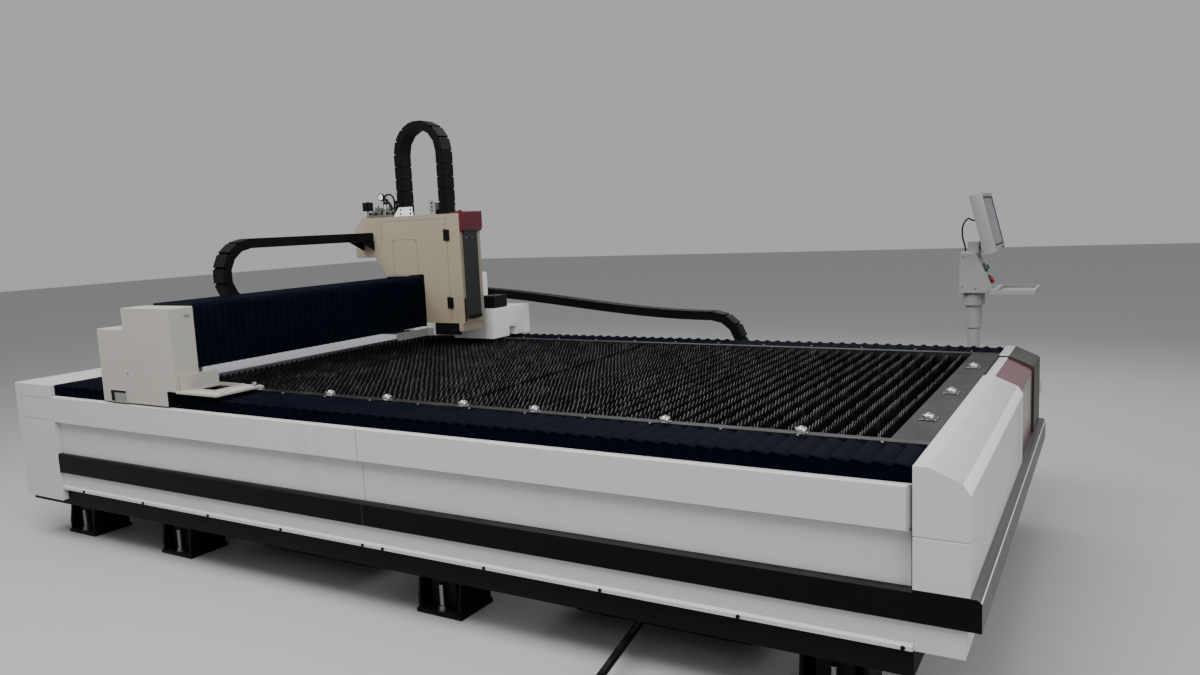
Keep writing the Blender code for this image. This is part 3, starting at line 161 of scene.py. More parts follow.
paintFinishes = {  # colour, roughness, dust, grime, gloss, smoke
    "panelWhite": ((0.52, 0.52, 0.515), 0.40, 0.20, 0.14, 0.45),
    "bodyCream": ((0.41, 0.395, 0.345), 0.40, 0.22, 0.22, 0.40),
    # Bright white; also laid on the step's top edge and on the end cap's cut chamfer as a painted highlight
    "boxWhite": ((0.80, 0.80, 0.78), 0.40, 0.12, 0.10, 0.45),
    "stripeBlack": ((0.0022, 0.0026, 0.0038), 0.34, 0.03, 0.03, 0.09),
    "frameBlack": ((0.0035, 0.0038, 0.0045), 0.50, 0.08, 0.05, 0.12),
    "columnGrey": ((0.017, 0.0190, 0.0185), 0.42, 0.08, 0.08, 0.30),
    "oliveGrey": ((0.034, 0.032, 0.024), 0.38, 0.04, 0.06, 0.18),
    "consoleGrey": ((0.255, 0.255, 0.250), 0.42, 0.12, 0.12, 0.40),
    "seamShade": ((0.060, 0.058, 0.055), 0.60, 0.10, 0.20, 0.20),
    # Grey; also the paler box that stands for the lit back wall of the near cover's handle slot (painted
    # light)
    "rimGrey": ((0.22, 0.215, 0.205), 0.34, 0.10, 0.10, 0.45),
    "endGrey": ((0.034, 0.034, 0.034), 0.50, 0.08, 0.30, 0.04),
    # Grey for the top and end faces of the black stripe, standing for the sheen they catch: painted
    # reflection
    "ledgeGrey": ((0.080, 0.080, 0.076), 0.36, 0.10, 0.18, 0.30),
    # Carriage's cream: darker than the gantry's to stand for the shade the carriage stands in (painted
    # shade); the brown smoke towards its foot is staining
    "carriageCream": ((0.30, 0.262, 0.190), 0.42, 0.20, 0.26, 0.35, (1.16, 0.93, 0.42)),
}
dustColour = (0.34, 0.31, 0.27)
grimeColour = (0.10, 0.095, 0.085)
stainColour = (0.055, 0.042, 0.032)
smokeColour = (0.17, 0.125, 0.080)


def paintedSheet(name, colour, rough, dust, grime, gloss, stain=None):
    board = Board(name)
    cloud = board.noise(1.7, 3.0)
    patch = board.noise(9.0, 6.0, 0.6)
    scuff = board.step(board.noise(5.0, 7.0, 0.7, (1.0, 14.0, 14.0)), 0.66, 0.80)
    settled = board.step(board.facing("Z"), 0.35, 0.95) * board.step(patch, 0.30, 0.75)
    smear = board.step(board.noise(7.5, 8.0, 0.70, (1.0, 1.0, 0.30)), 0.52, 0.82)
    speck = board.step(board.noise(60.0, 3.0, 0.6), 0.70, 0.76)
    shade = board.blend(cloud * 0.35, colour, [part * 0.90 for part in colour])
    shade = board.blend(speck * grime, shade, grimeColour)
    shade = board.blend(smear * grime, shade, grimeColour)
    shade = board.blend(scuff * grime * 0.5, shade, dustColour)
    shade = board.blend(settled * dust, shade, dustColour)
    if stain:  # brown cutting smoke, thicker towards the foot
        high, low, share = stain
        foot = board.step(board.along("Z"), high, low) * board.step(board.noise(3.2, 5.0, 0.6), 0.25, 0.80)
        shade = board.blend(foot * share, shade, smokeColour)
    grain = board.noise(900.0, 2.0)
    return board.finish(
        Base_Color=shade,
        Roughness=cloud * 0.10 + settled * dust * 0.35 + smear * 0.12 + rough,
        Normal=board.bump(grain * 0.6 + board.noise(14.0, 2.0) * 0.4, 0.16, 0.0006),
        Specular_IOR_Level=gloss,
    )


steelFinishes = {  # colour, roughness, stains, stretch of the brushing
    "railSteel": ((0.42, 0.42, 0.42), 0.28, 0.35, (0.4, 40.0, 40.0)),
    # Bright steel for the table's left end plate, standing for the back light on it: painted light
    "backLitPlateSteel": ((0.78, 0.78, 0.83), 0.34, 0.30, (12.0, 1.0, 12.0)),
    "boltSteel": ((0.30, 0.30, 0.30), 0.35, 0.30, (20.0, 20.0, 20.0)),
    "tableSteel": ((0.035, 0.035, 0.037), 0.46, 0.60, (1.0, 20.0, 20.0)),
    "brightSteel": ((0.50, 0.50, 0.49), 0.20, 0.10, (9.0, 9.0, 9.0)),
    "brassFitting": ((0.30, 0.26, 0.18), 0.34, 0.40, (9.0, 9.0, 9.0)),
}


def workedSteel(name, colour, rough, stain, stretch):
    board = Board(name)
    brushed = board.noise(18.0, 6.0, 0.7, stretch)
    patch = board.noise(7.0, 7.0, 0.62)
    blotch = board.step(patch, 0.46, 0.76)
    shade = board.blend(brushed * 0.55, colour, [part * 0.66 for part in colour])
    shade = board.blend(blotch * stain, shade, stainColour)
    return board.finish(
        Base_Color=shade,
        Metallic=1.0 - blotch * stain * 0.55,
        Roughness=brushed * 0.16 + blotch * 0.20 + rough,
        Normal=board.bump(brushed * 0.6 + patch * 0.4, 0.22, 0.0008),
    )


def scorchedSlats(name):
    # Slats: black scale, rusty patches, bright spatter, and paler tops of the teeth standing for their shine,
    # a painted highlight
    board = Board(name)
    patch = board.noise(11.0, 8.0, 0.7)
    speck = board.step(board.noise(120.0, 3.0, 0.7), 0.60, 0.72)
    tipShine = board.step(board.along("Z"), 0.772, 0.799)
    rust = board.step(patch, 0.52, 0.72)
    shade = board.blend(rust * 0.45, (0.014, 0.015, 0.019), (0.050, 0.032, 0.020))
    # paler tops of the teeth: painted highlight
    shade = board.blend(tipShine * board.step(patch, 0.38, 0.62) * 0.50, shade, (0.11, 0.107, 0.104))
    shade = board.blend(speck * 0.5, shade, (0.15, 0.145, 0.14))
    return board.finish(
        Base_Color=shade,
        Metallic=0.75 - rust * 0.45,
        Roughness=rust * 0.25 + 0.42,
        Normal=board.bump(board.noise(210.0, 5.0, 0.7) + patch, 0.55, 0.0016),
    )


def coatedCloth(name, crestAxis, crestLow, crestHigh):
    # Bellows: coated weave, paler worn crests, a little dust
    board = Board(name)
    weave = board.wave(260.0, "X") * 0.5 + board.wave(260.0, "Y") * 0.5 + board.wave(260.0, "Z") * 0.4
    patch = board.noise(6.0, 6.0, 0.6)
    worn = board.step(board.along(crestAxis), crestLow, crestHigh) * board.step(patch, 0.30, 0.70)
    dust = board.step(board.facing("Z"), 0.2, 1.0) * board.step(board.noise(17.0, 8.0, 0.7), 0.42, 0.78)
    shade = board.blend(patch * 0.5, (0.0012, 0.0020, 0.0062), (0.0024, 0.0034, 0.0090))
    shade = board.blend(worn * 0.07, shade, (0.030, 0.034, 0.048))
    shade = board.blend(dust * 0.015, shade, (0.12, 0.115, 0.11))
    return board.finish(
        Base_Color=shade,
        Roughness=dust * 0.15 + patch * 0.14 + 0.56,
        Normal=board.bump(weave + board.noise(40.0, 3.0) * 1.5, 0.30, 0.0007),
        Specular_IOR_Level=0.012,
    )


plasticFinishes = {  # colour, roughness, dust, gloss
    "chainPlastic": ((0.0026, 0.0029, 0.0036), 0.42, 0.02, 0.12),
    "chainLid": ((0.0090, 0.0092, 0.0105), 0.46, 0.02, 0.05),
    # Black plastic; also the dark plate that stands for the shadow in the near cover's handle slot (painted
    # shadow)
    "blackPlastic": ((0.0045, 0.0045, 0.0050), 0.38, 0.04, 0.16),
    "cableBlack": ((0.0050, 0.0050, 0.0058), 0.48, 0.05, 0.18),
    "pipeGrey": ((0.20, 0.22, 0.19), 0.36, 0.10, 0.45),
    "stopRed": ((0.42, 0.010, 0.010), 0.26, 0.05, 0.50),
    "startGreen": ((0.010, 0.16, 0.045), 0.28, 0.05, 0.50),
}


def mouldedPlastic(name, colour, rough, dust, gloss):
    board = Board(name)
    patch = board.noise(13.0, 6.0, 0.6)
    settled = board.step(board.facing("Z"), 0.3, 1.0) * board.step(patch, 0.35, 0.75)
    shade = board.blend(patch * 0.4, colour, [part * 0.7 for part in colour])
    shade = board.blend(settled * dust, shade, dustColour)
    return board.finish(
        Base_Color=shade,
        Roughness=patch * 0.12 + settled * dust * 0.4 + rough,
        Normal=board.bump(board.noise(700.0, 2.0), 0.20, 0.0004),
        Specular_IOR_Level=gloss,
    )


def glossyMaroon(name):
    # Deep glossy cover with fine scratches and settled dust
    board = Board(name)
    patch = board.noise(4.0, 5.0, 0.6)
    scratch = board.step(board.noise(5.0, 7.0, 0.7, (1.0, 3.0, 3.0)), 0.60, 0.78)
    settled = board.step(board.facing("Z"), 0.4, 1.0) * board.step(board.noise(21.0, 7.0, 0.7), 0.40, 0.75)
    shade = board.blend(patch * 0.6, (0.105, 0.0085, 0.0145), (0.070, 0.0060, 0.0100))
    shade = board.blend(settled * 0.05, shade, dustColour)
    return board.finish(
        Base_Color=shade,
        Roughness=scratch * 0.14 + settled * 0.16 + 0.20,
        Normal=board.bump(patch * 0.5 + scratch * 0.1, 0.08, 0.0008),
        Specular_IOR_Level=0.35,
        Coat_Weight=0.20 - settled * 0.14,
        Coat_Roughness=0.10,
    )


def darkScreen(name):
    board = Board(name)
    smear = board.step(board.noise(9.0, 6.0, 0.6), 0.45, 0.75)
    return board.finish(
        Base_Color=board.blend(smear * 0.3, (0.006, 0.008, 0.010), (0.020, 0.024, 0.028)),
        Roughness=smear * 0.18 + 0.10,
    )


print("mixing the finishes")
finishes = {}
for finishName, finishSettings in paintFinishes.items():
    finishes[finishName] = paintedSheet(finishName, *finishSettings)
for finishName, finishSettings in steelFinishes.items():
    finishes[finishName] = workedSteel(finishName, *finishSettings)
for finishName, finishSettings in plasticFinishes.items():
    finishes[finishName] = mouldedPlastic(finishName, *finishSettings)
finishes["slatSteel"] = scorchedSlats("slatSteel")
finishes["roofCloth"] = coatedCloth("roofCloth", "Z", 0.789, 0.800)
finishes["beamCloth"] = coatedCloth("beamCloth", "X", -0.994, -0.984)
finishes["maroonGloss"] = glossyMaroon("maroonGloss")
finishes["screenGlass"] = darkScreen("screenGlass")


# Mesh helpers

def paintFaces(made, part):
    for face in {face for vert in made for face in vert.link_faces}:
        face.material_index = part


def boxInto(shape, start, end, turn=None, part=0):
    # Box between any two opposite corners
    made = bmesh.ops.create_cube(shape, size=1.0)["verts"]
    start, end = Vector(start), Vector(end)
    bmesh.ops.scale(shape, vec=Vector([abs(span) for span in end - start]), verts=made)
    bmesh.ops.translate(shape, vec=(start + end) / 2, verts=made)
    if turn is not None:
        bmesh.ops.transform(shape, matrix=turn, verts=made)
    paintFaces(made, part)


def rodInto(shape, base, along, radius, length, sides=16, tip=None, part=0):
    # Cylinder or cone standing on its base point
    made = bmesh.ops.create_cone(
        shape,
        cap_ends=True,
        segments=sides,
        radius1=radius,
        radius2=radius if tip is None else tip,
        depth=length,
    )["verts"]
    turn = Vector(along).to_track_quat("Z", "Y").to_matrix().to_4x4()
    place = Matrix.Translation(Vector(base) + Vector(along).normalized() * length / 2) @ turn
    bmesh.ops.transform(shape, matrix=place, verts=made)
    paintFaces(made, part)


def loftInto(shape, rings, part=0):
    rows = [[shape.verts.new(point) for point in ring] for ring in rings]
    for first, second in zip(rows, rows[1:]):
        for i in range(len(first)):
            j = (i + 1) % len(first)
            face = shape.faces.new((first[i], first[j], second[j], second[i]))
            face.material_index = part
            face.smooth = True
    for ring in (rows[0], rows[-1]):
        shape.faces.new(ring).material_index = part


def ringAt(middle, u, v, sides):
    # Points round a middle; u and v are the ring's half axes
    angles = [2 * math.pi * k / sides for k in range(sides)]
    return [middle + u * math.cos(angle) + v * math.sin(angle) for angle in angles]


def turnedInto(shape, middle, along, u, v, profile, sides, part=0):
    # Turned form: each pair of the profile is a ring's width and its level along the axis
    rings = [ringAt(middle + along * level, u * wide, v * wide, sides) for wide, level in profile]
    loftInto(shape, rings, part)


def tubeInto(shape, points, radius, sides, part=0):
    # Round bar or hose along a list of points
    points = [Vector(point) for point in points]
    rings = []
    side = None
    for i, point in enumerate(points):
        ahead = (points[min(i + 1, len(points) - 1)] - points[max(i - 1, 0)]).normalized()
        if side is None:
            side = ahead.orthogonal().normalized()
        side = (side - ahead * side.dot(ahead)).normalized()
        rings.append(ringAt(point, side * radius, ahead.cross(side) * radius, sides))
    loftInto(shape, rings, part)


def smoothRoute(points, steps):
    # Catmull-Rom line through the route's own points
    points = [Vector(point) for point in points]
    line = []
    for i in range(len(points) - 1):
        before = points[max(i - 1, 0)]
        first, second = points[i], points[i + 1]
        after = points[min(i + 2, len(points) - 1)]
        bend = 2 * before - 5 * first + 4 * second - after
        twist = 3 * first - before - 3 * second + after
        for k in range(steps):
            t = k / steps
            line.append(0.5 * (2 * first + (second - before) * t + bend * t * t + twist * t * t * t))
    line.append(points[-1])
    return line


def addObject(name, data):
    made = bpy.data.objects.new(name, data)
    bpy.context.scene.collection.objects.link(made)
    return made


def settle(name, shape, looks, body, smooth=None, bevel=0.0):
    # Makes the object, gives it its finishes and hangs it on its body
    bmesh.ops.recalc_face_normals(shape, faces=shape.faces)
    mesh = bpy.data.meshes.new(name)
    shape.to_mesh(mesh)
    shape.free()
    for look in looks if isinstance(looks, (list, tuple)) else [looks]:
        mesh.materials.append(finishes[look])
    piece = addObject(name, mesh)
    if smooth is not None:
        mesh.shade_smooth()
        mesh.set_sharp_from_angle(angle=math.radians(smooth))
    if bevel:
        roundEdges(piece, bevel)
    if body:
        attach(piece, body)
    return piece


edgeSettings = {"sharp": 35, "flat": 0.3, "meld": 0.00002}


def roundEdges(piece, width, segments=2):
    modifier = piece.modifiers.new("roundEdges", "BEVEL")
    modifier.width = width
    modifier.segments = segments
    modifier.limit_method = "ANGLE"
    modifier.angle_limit = math.radians(edgeSettings["sharp"])
    modifier.harden_normals = True


def softened(nodeName, look, body, slotName, width, accents=(), cuts=()):
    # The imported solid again: edges rounded, some corners cut, some faces in other finishes
    meld = edgeSettings["meld"]
    shape = bmesh.new()
    shape.from_mesh(frameNodes[nodeName].data)
    bmesh.ops.remove_doubles(shape, verts=shape.verts, dist=meld)
    for point, normal in cuts:
        whole = shape.verts[:] + shape.edges[:] + shape.faces[:]
        made = bmesh.ops.bisect_plane(
            shape, geom=whole, dist=meld, plane_co=point, plane_no=normal, clear_outer=True
        )
        rim = [part for part in made["geom_cut"] if isinstance(part, bmesh.types.BMEdge)]
        bmesh.ops.holes_fill(shape, edges=rim, sides=0)
    if cuts:
        flat = math.radians(edgeSettings["flat"])
        bmesh.ops.dissolve_limit(shape, angle_limit=flat, verts=shape.verts, edges=shape.edges)
    for number, (low, high, accentLook) in enumerate(accents, 1):
        for face in shape.faces:
            middle = face.calc_center_median()
            if all(low[i] <= middle[i] <= high[i] for i in range(3)):
                face.material_index = number
    looks = [look] + [accentLook for low, high, accentLook in accents]
    smooth = edgeSettings["sharp"] if width else None
    piece = settle(nodeName + "_finished", shape, looks, body, smooth, width)
    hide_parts(nodeName)


def screwInto(shape, base, along, radius, part=0):
    # Cap screw head: rounded rim and a sunk middle
    along = Vector(along).normalized() * radius
    side = along.orthogonal().normalized() * radius
    other = along.cross(side) / radius
    profile = ((1.0, 0.0), (1.0, 0.55), (0.86, 0.80), (0.50, 0.80), (0.50, 0.35))
    turnedInto(shape, Vector(base), along, side, other, profile, 12, part)


def plateInto(shape, outline, start, end, part=0):
    # Flat plate: an outline of points lifted from start to end by the same vector
    rings = [[Vector(point) + Vector(shift) for point in outline] for shift in (start, end)]
    loftInto(shape, rings, part)


# Camera, floor and light

viewSettings = {
    "place": (2.5665, -3.5585, 1.48),
    "lens": 27.06,
    "sensor": 36.0,
    "clipEnd": 200.0,
    "right": (0.86707, 0.49646, -0.04377),
    "up": (-0.02592, 0.13267, 0.99083),
}
studioSettings = {
    "floorSize": 60.0,
    "floorColour": (0.42, 0.415, 0.405),
    "floorRough": 0.75,
    "skyColour": (0.93, 0.95, 1.0, 1.0),
    "skyStrength": 0.46,
    "panels": (  # name, place, aim, size, power, colour
        ("keyPanel", (-0.5, -2.5, 4.6), (0, 0, 0.6), (6.0, 2.5), 330.0, (1.0, 0.98, 0.95)),
        ("fillPanel", (6.0, -2.5, 3.2), (1.0, 0, 0.6), (3.0, 3.0), 150.0, (1.0, 1.0, 1.0)),
        ("backPanel", (0.5, 4.8, 4.2), (0, 0, 0.8), (6.0, 2.0), 150.0, (0.95, 0.98, 1.0)),
    ),
}


def addCamera():
    data = bpy.data.cameras.new("photoCamera")
    data.lens = viewSettings["lens"]
    data.sensor_width = viewSettings["sensor"]
    data.clip_end = viewSettings["clipEnd"]
    camera = addObject("photoCamera", data)
    right = Vector(viewSettings["right"]).normalized()
    up = Vector(viewSettings["up"])
    up = (up - right * up.dot(right)).normalized()
    turn = Matrix((right, up, right.cross(up))).transposed()
    camera.matrix_world = Matrix.Translation(viewSettings["place"]) @ turn.to_4x4()
    bpy.context.scene.camera = camera


def addLight(name, place, aim, size, power, colour):
    data = bpy.data.lights.new(name, "AREA")
    data.shape = "RECTANGLE"
    data.size, data.size_y = size
    data.energy = power
    data.color = colour
    light = addObject(name, data)
    light.location = place
    light.rotation_euler = (Vector(aim) - Vector(place)).to_track_quat("-Z", "Y").to_euler()


def addStage():
    shape = bmesh.new()
    bmesh.ops.create_grid(shape, x_segments=1, y_segments=1, size=studioSettings["floorSize"] / 2)
    mesh = bpy.data.meshes.new("studioFloor")
    shape.to_mesh(mesh)
    shape.free()
    floor = addObject("studioFloor", mesh)
    paint = {"Base_Color": studioSettings["floorColour"], "Roughness": studioSettings["floorRough"]}
    mesh.materials.append(Board("studioFloor").finish(**paint))
    world = bpy.data.worlds.new("studioSky")
    world.use_nodes = True
    back = world.node_tree.nodes["Background"]
    back.inputs["Color"].default_value = studioSettings["skyColour"]
    back.inputs["Strength"].default_value = studioSettings["skyStrength"]
    bpy.context.scene.world = world
    for panel in studioSettings["panels"]:
        addLight(*panel)


print("camera, floor and light")
addCamera()
addStage()


# Monitor cable: a short stiff lead from the top of the box to the back of the monitor

monitorLean = math.radians(14)
screenNormal = Vector((math.cos(monitorLean), 0, math.sin(monitorLean)))
cableSettings = {
    "radius": 0.004,
    "sides": 12,
    "start": (1.880, 1.385, 1.2453),
    "end": (1.9506, 1.360, 1.4064),
    "rise": ((-0.002, 0, 0.025), (-0.014, -0.004, 0.075), (-0.012, -0.010, 0.130), (0.012, -0.018, 0.165)),
    "reach": 0.035,
    "boot": 0.012,
}


def monitorCable():
    start = Vector(cableSettings["start"])
    end = Vector(cableSettings["end"]) - screenNormal * gap
    route = [start] + [start + Vector(bend) for bend in cableSettings["rise"]]
    route.append(end - screenNormal * cableSettings["reach"] + axisZ * 0.004)
    route.append(end - screenNormal * cableSettings["boot"])
    route.append(end)
    line = smoothRoute(route, 6)
    shape = bmesh.new()
    tubeInto(shape, line, cableSettings["radius"], cableSettings["sides"])
    cable = settle("monitorCable", shape, "cableBlack", None)
    length = sum((b - a).length for a, b in zip(line, line[1:]))
    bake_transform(cable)
    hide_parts("monitor_cable")


print("monitor cable")
monitorCable()


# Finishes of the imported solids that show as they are

plainNodes = {
    "railSteel": ["near_x_rail", "far_x_rail", "cutting_head"],
    "frameBlack": [
        "bed_beam_near", "bed_beam_far", "cross_beam_left", "cross_beam_middle", "cross_beam_right",
        "slag_tray_left", "slag_tray_right", "tray_drawbar",
    ],
    "panelWhite": ["near_side_skirt", "far_side_skirt", "end_skirt", "x_chain_tray"],
    "stripeBlack": ["near_side_stripe", "far_side_stripe"],
    "tableSteel": ["table_near_rail", "table_far_rail"],
    # left end plate brighter than the right one because of the back light on it: painted light
    "backLitPlateSteel": ["table_left_plate"],
    "endGrey": ["table_right_plate"],
    "bodyCream": ["gantry_beam"],
    "consoleGrey": ["console_post", "keyboard_tray"],
    "stopRed": ["emergency_stop"],
    "startGreen": ["start_button"],
    "blackPlastic": ["pause_button"],
}

print("painting the packed solids")
for look, names in plainNodes.items():
    for nodeName in names:
        frameNodes[nodeName].data.materials.clear()
        frameNodes[nodeName].data.materials.append(finishes[look])


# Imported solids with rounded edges, and with some faces in another finish

def accent(nodeName, look, **edges):
    # Finish for the faces inside the node's box, with some of the box's edges moved
    low, high = (list(corner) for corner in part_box(nodeName))
    for key, value in edges.items():
        corner = low if key.startswith("low") else high
        corner["XYZ".index(key[-1])] = value
    return [value - 0.001 for value in low], [value + 0.001 for value in high], look


doorLow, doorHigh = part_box("service_door")
capLow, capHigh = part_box("right_end_cap")
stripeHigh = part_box("end_stripe")[1]
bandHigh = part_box("near_side_panel")[1]
bandChamfer = 0.016  # cut end of the raised band
bandFace = 1.1385  # its outer face from the middle of the bed
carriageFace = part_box("beam_bellows_near")[1].y + gap  # near side of the carriage
carriageFoot = 0.930  # underside of the carriage's own shell
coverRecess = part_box("near_end_cover")[0].y + 0.004  # behind the near cover's face
capJoint = capLow.x + 0.043  # step between the end cap and its covers

softNodes = (  # node, finish, body, slot, edge width, accents, cuts
    ("near_end_cover", "bodyCream", "gantry", "cream_paint", 0.004,
     (accent("near_end_cover", "frameBlack", lowX=-1.060, lowY=coverRecess, highZ=0.812),)),
    ("far_end_cover", "boxWhite", "gantry", "cream_paint", 0.004),
    # carriage housing and door in the darker cream, a painted shade
    ("carriage_housing", "carriageCream", "carriage", "cream_paint", 0.0,
     (accent("carriage_housing", "frameBlack", highX=doorHigh.x - 0.037, highZ=carriageFoot - 0.001),)),
    ("service_door", "carriageCream", "door", "cream_paint", 0.0,
     (accent("service_door", "blackPlastic", highX=doorLow.x + 0.027, highY=carriageFace - 0.0012),)),
    ("left_end_cover", "panelWhite", "bed", "white_paint", 0.0012),
    # right end cap: the cut chamfer along its top edge in bright white, a painted highlight
    ("right_end_cap", "panelWhite", "bed", "white_paint", 0.003,
     (accent("right_end_cap", "rimGrey", lowY=capHigh.y - 0.0095),
      accent("right_end_cap", "boxWhite", lowX=capHigh.x - 0.013, lowZ=0.744)),
     (((capHigh.x, 0, 0.7330), (0.833, 0, 0.553)),)),
    ("lamp_cover", "maroonGloss", "bed", "lamp_plastic", 0.004,
     (accent("lamp_cover", "panelWhite", highX=capJoint, lowZ=capHigh.z - 0.016),)),
    ("end_cap_far_section", "oliveGrey", "bed", "olive_paint", 0.004,
     (accent("end_cap_far_section", "panelWhite", highX=capJoint, lowZ=capHigh.z - 0.009),)),
    ("head_column", "columnGrey", "head", "grey_paint", 0.0),
    ("head_cap", "maroonGloss", "carriage", "lamp_plastic", 0.003),
    ("console_box", "consoleGrey", "console", "console_paint", 0.0015),
    ("monitor", "consoleGrey", "monitor", "console_paint", 0.0015),
    # black stripe: its top and end faces in a lighter grey, a painted reflection
    ("end_stripe", "stripeBlack", "bed", "black_paint", 0.0,
     (accent("end_stripe", "ledgeGrey", lowX=stripeHigh.x - 0.0006),
      accent("end_stripe", "ledgeGrey", lowZ=stripeHigh.z - 0.0075))),
    ("near_side_panel", "panelWhite", "bed", "white_paint", 0.0, (),
     (((bandHigh.x, bandChamfer - bandFace, 0), (1, -1, 0)),)),
    ("far_side_panel", "panelWhite", "bed", "white_paint", 0.0, (),
     (((bandHigh.x, bandFace - bandChamfer, 0), (1, 1, 0)),)),
)
for settings in softNodes:
    softened(*settings)


# Bolts, seams and creases on the bed's sheet covers

coverSettings = {
    "boltPlaces": (-1.781, -1.313, -0.854, -0.394, 0.063, 0.166, 0.645, 1.118, 1.597, 2.077),
    "boltRadius": 0.0065,
    "boltLevel": 0.2830,
    "bandSeam": 0.075,
    "skirtSeam": 0.115,
    "seamWidth": 0.0016,
    "seamRise": 0.0003,
    "seamDepth": 0.0008,
    "creaseLevels": (0.625, 0.735),
    "creaseInset": 0.042,
    "creaseShare": 0.7,
    "bandEnd": ((0, 0, 0.6180), (1, 1, 0.6300), (1, 1, 0.7430), (0, 0, 0.7400)),
    "bandEdge": 0.0020,
    "bandDepth": 0.0240,
    "jointDepth": 0.0250,
    "returnDepth": 0.030,
    "returns": ((0.2200, 0.3610), (0.4570, 0.6150), (0.7475, 0.7985)),
}


def coverDetails(sideName):
    side = -1 if sideName == "near" else 1
    panelLow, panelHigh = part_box(sideName + "_side_panel")
    skirtLow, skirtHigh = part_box(sideName + "_side_skirt")
    stripeLow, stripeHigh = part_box(sideName + "_side_stripe")
    coverLow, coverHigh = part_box("left_end_cover")
    outer = panelLow.y if side < 0 else panelHigh.y
    skirtFace = skirtLow.y if side < 0 else skirtHigh.y

    def stripInto(x0, z0, x1, z1, rise, depth, face=outer):
        boxInto(shape, (x0, face + side * rise, z0), (x1, face - side * depth, z1))

    shape = bmesh.new()
    for x in coverSettings["boltPlaces"]:
        spot = (x, skirtFace, coverSettings["boltLevel"])
        screwInto(shape, spot, (0, side, 0), coverSettings["boltRadius"])
    settle(sideName + "SkirtBolts", shape, "blackPlastic", "bed", smooth=30)
    shape = bmesh.new()
    half = coverSettings["seamWidth"] / 2
    rise, depth = coverSettings["seamRise"], coverSettings["seamDepth"]
    seam = coverSettings["bandSeam"]
    for x, face, low, high in (
        (seam, outer, 0.6190, panelHigh.z - 0.0010),
        (seam, outer - side * 0.025, panelLow.z + 0.0010, 0.6000),
        (seam, outer, stripeLow.z + 0.0010, stripeHigh.z - 0.0010),
        (coverSettings["skirtSeam"], skirtFace - side * 0.012, 0.3000, skirtHigh.z - 0.0010),
    ):
        stripInto(x - half, low, x + half, high, rise, depth, face)
    left = coverLow.x + coverSettings["creaseInset"]
    fine = half * coverSettings["creaseShare"]
    lowCrease, highCrease = coverSettings["creaseLevels"]
    for level in (lowCrease, highCrease):
        stripInto(left, level - fine, coverHigh.x - 0.001, level + fine, rise, depth)
    stripInto(left - fine, lowCrease, left + fine, highCrease, rise, depth)
    settle(sideName + "CoverSeams", shape, "seamShade", "bed")
    # Cut end of the raised band: its slope, and the ledge under it
    shape = bmesh.new()
    edge = coverSettings["bandEdge"]
    slope = bandChamfer - edge
    outline = []
    for x, y, z in coverSettings["bandEnd"]:
        outline.append((panelHigh.x - bandChamfer + x * slope, outer - side * y * slope, z))
    plateInto(shape, outline, (0, 0, 0), (-0.0010, -side * 0.0010, 0))
    inner = coverSettings["bandDepth"]
    outline = []
    for x, y, z in (
        (bandChamfer, 0.0002, 0.6180), (edge, slope, 0.6300),
        (edge, inner, 0.6100), (bandChamfer, inner, 0.6070),
    ):
        outline.append((panelHigh.x - x, outer - side * y, z))
    plateInto(shape, outline, (0, 0, 0), (0, 0, 0.0010))
    settle(sideName + "BandEnd", shape, "panelWhite", "bed")
    # Black strip in the joint to the end cap
    shape = bmesh.new()
    right = panelHigh.x + 0.0001
    foot, top = stripeHigh.z + 0.0025, panelHigh.z - 0.0010
    stripInto(right - 0.0020, foot, right, top, -0.0013, coverSettings["jointDepth"])
    settle(sideName + "JointStrip", shape, "blackPlastic", "bed")
    # Folded-in edge of the left cover, seen beside the recesses
    shape = bmesh.new()
    right = coverHigh.x - 0.0001
    for low, high in coverSettings["returns"]:
        stripInto(right - 0.0017, low, right, high, -0.0010, coverSettings["returnDepth"])
    settle(sideName + "CoverReturns", shape, "panelWhite", "bed")


print("bolts and seams of the covers")
coverDetails("near")
coverDetails("far")


# Levelling bolts in the feet

footSettings = {
    "places": (-2.030, -1.265, 0.330, 1.850),
    "line": 1.004,
    "deck": 0.0165,
    "radius": 0.010,
    "height": 0.085,
    "washer": 0.003,
    "nut": 0.016,
    "threads": 12,
    "threadPitch": 0.006,
}


def levellingBolts():
    shape = bmesh.new()
    radius = footSettings["radius"]
    washer = axisZ * footSettings["washer"]
    nut = axisZ * footSettings["nut"]
    for side in (-1, 1):
        for x in footSettings["places"]:
            base = Vector((x, side * footSettings["line"], footSettings["deck"]))
            rodInto(shape, base, axisZ, radius * 2.1, footSettings["washer"], 20)
            rodInto(shape, base + washer, axisZ, radius * 1.7, footSettings["nut"], 6)
            rodInto(shape, base + washer + nut, axisZ, radius, footSettings["height"], 14)
            for k in range(footSettings["threads"]):
                level = base + axisZ * (0.026 + k * footSettings["threadPitch"])
                rodInto(shape, level, axisZ, radius * 1.06, 0.0028, 14, radius * 0.92)
    settle("levellingBolts", shape, "boltSteel", "bed", smooth=35, bevel=0.0006)


print("levelling bolts")
levellingBolts()


# Painted highlight: a bright strip along the top edge of the step round the foot of the end cap

stepHighlightSettings = {"upper": (0.0006, 0.0094), "lower": (0.0030, 0.0074), "outward": (0.640, 0, 0.768)}


def stepHighlight():
    low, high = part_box("end_stripe")
    shape = bmesh.new()
    outward = Vector(stepHighlightSettings["outward"])
    upper, lower = stepHighlightSettings["upper"], stepHighlightSettings["lower"]
    outline = []
    for (x, z), y in ((upper, low.y), (upper, high.y), (lower, high.y), (lower, low.y)):
        outline.append((high.x - x, y, high.z - z))
    plateInto(shape, outline, outward * -0.0004, outward * 0.0005)
    settle("stepHighlight", shape, "boxWhite", "bed")


print("edge of the step")
stepHighlight()


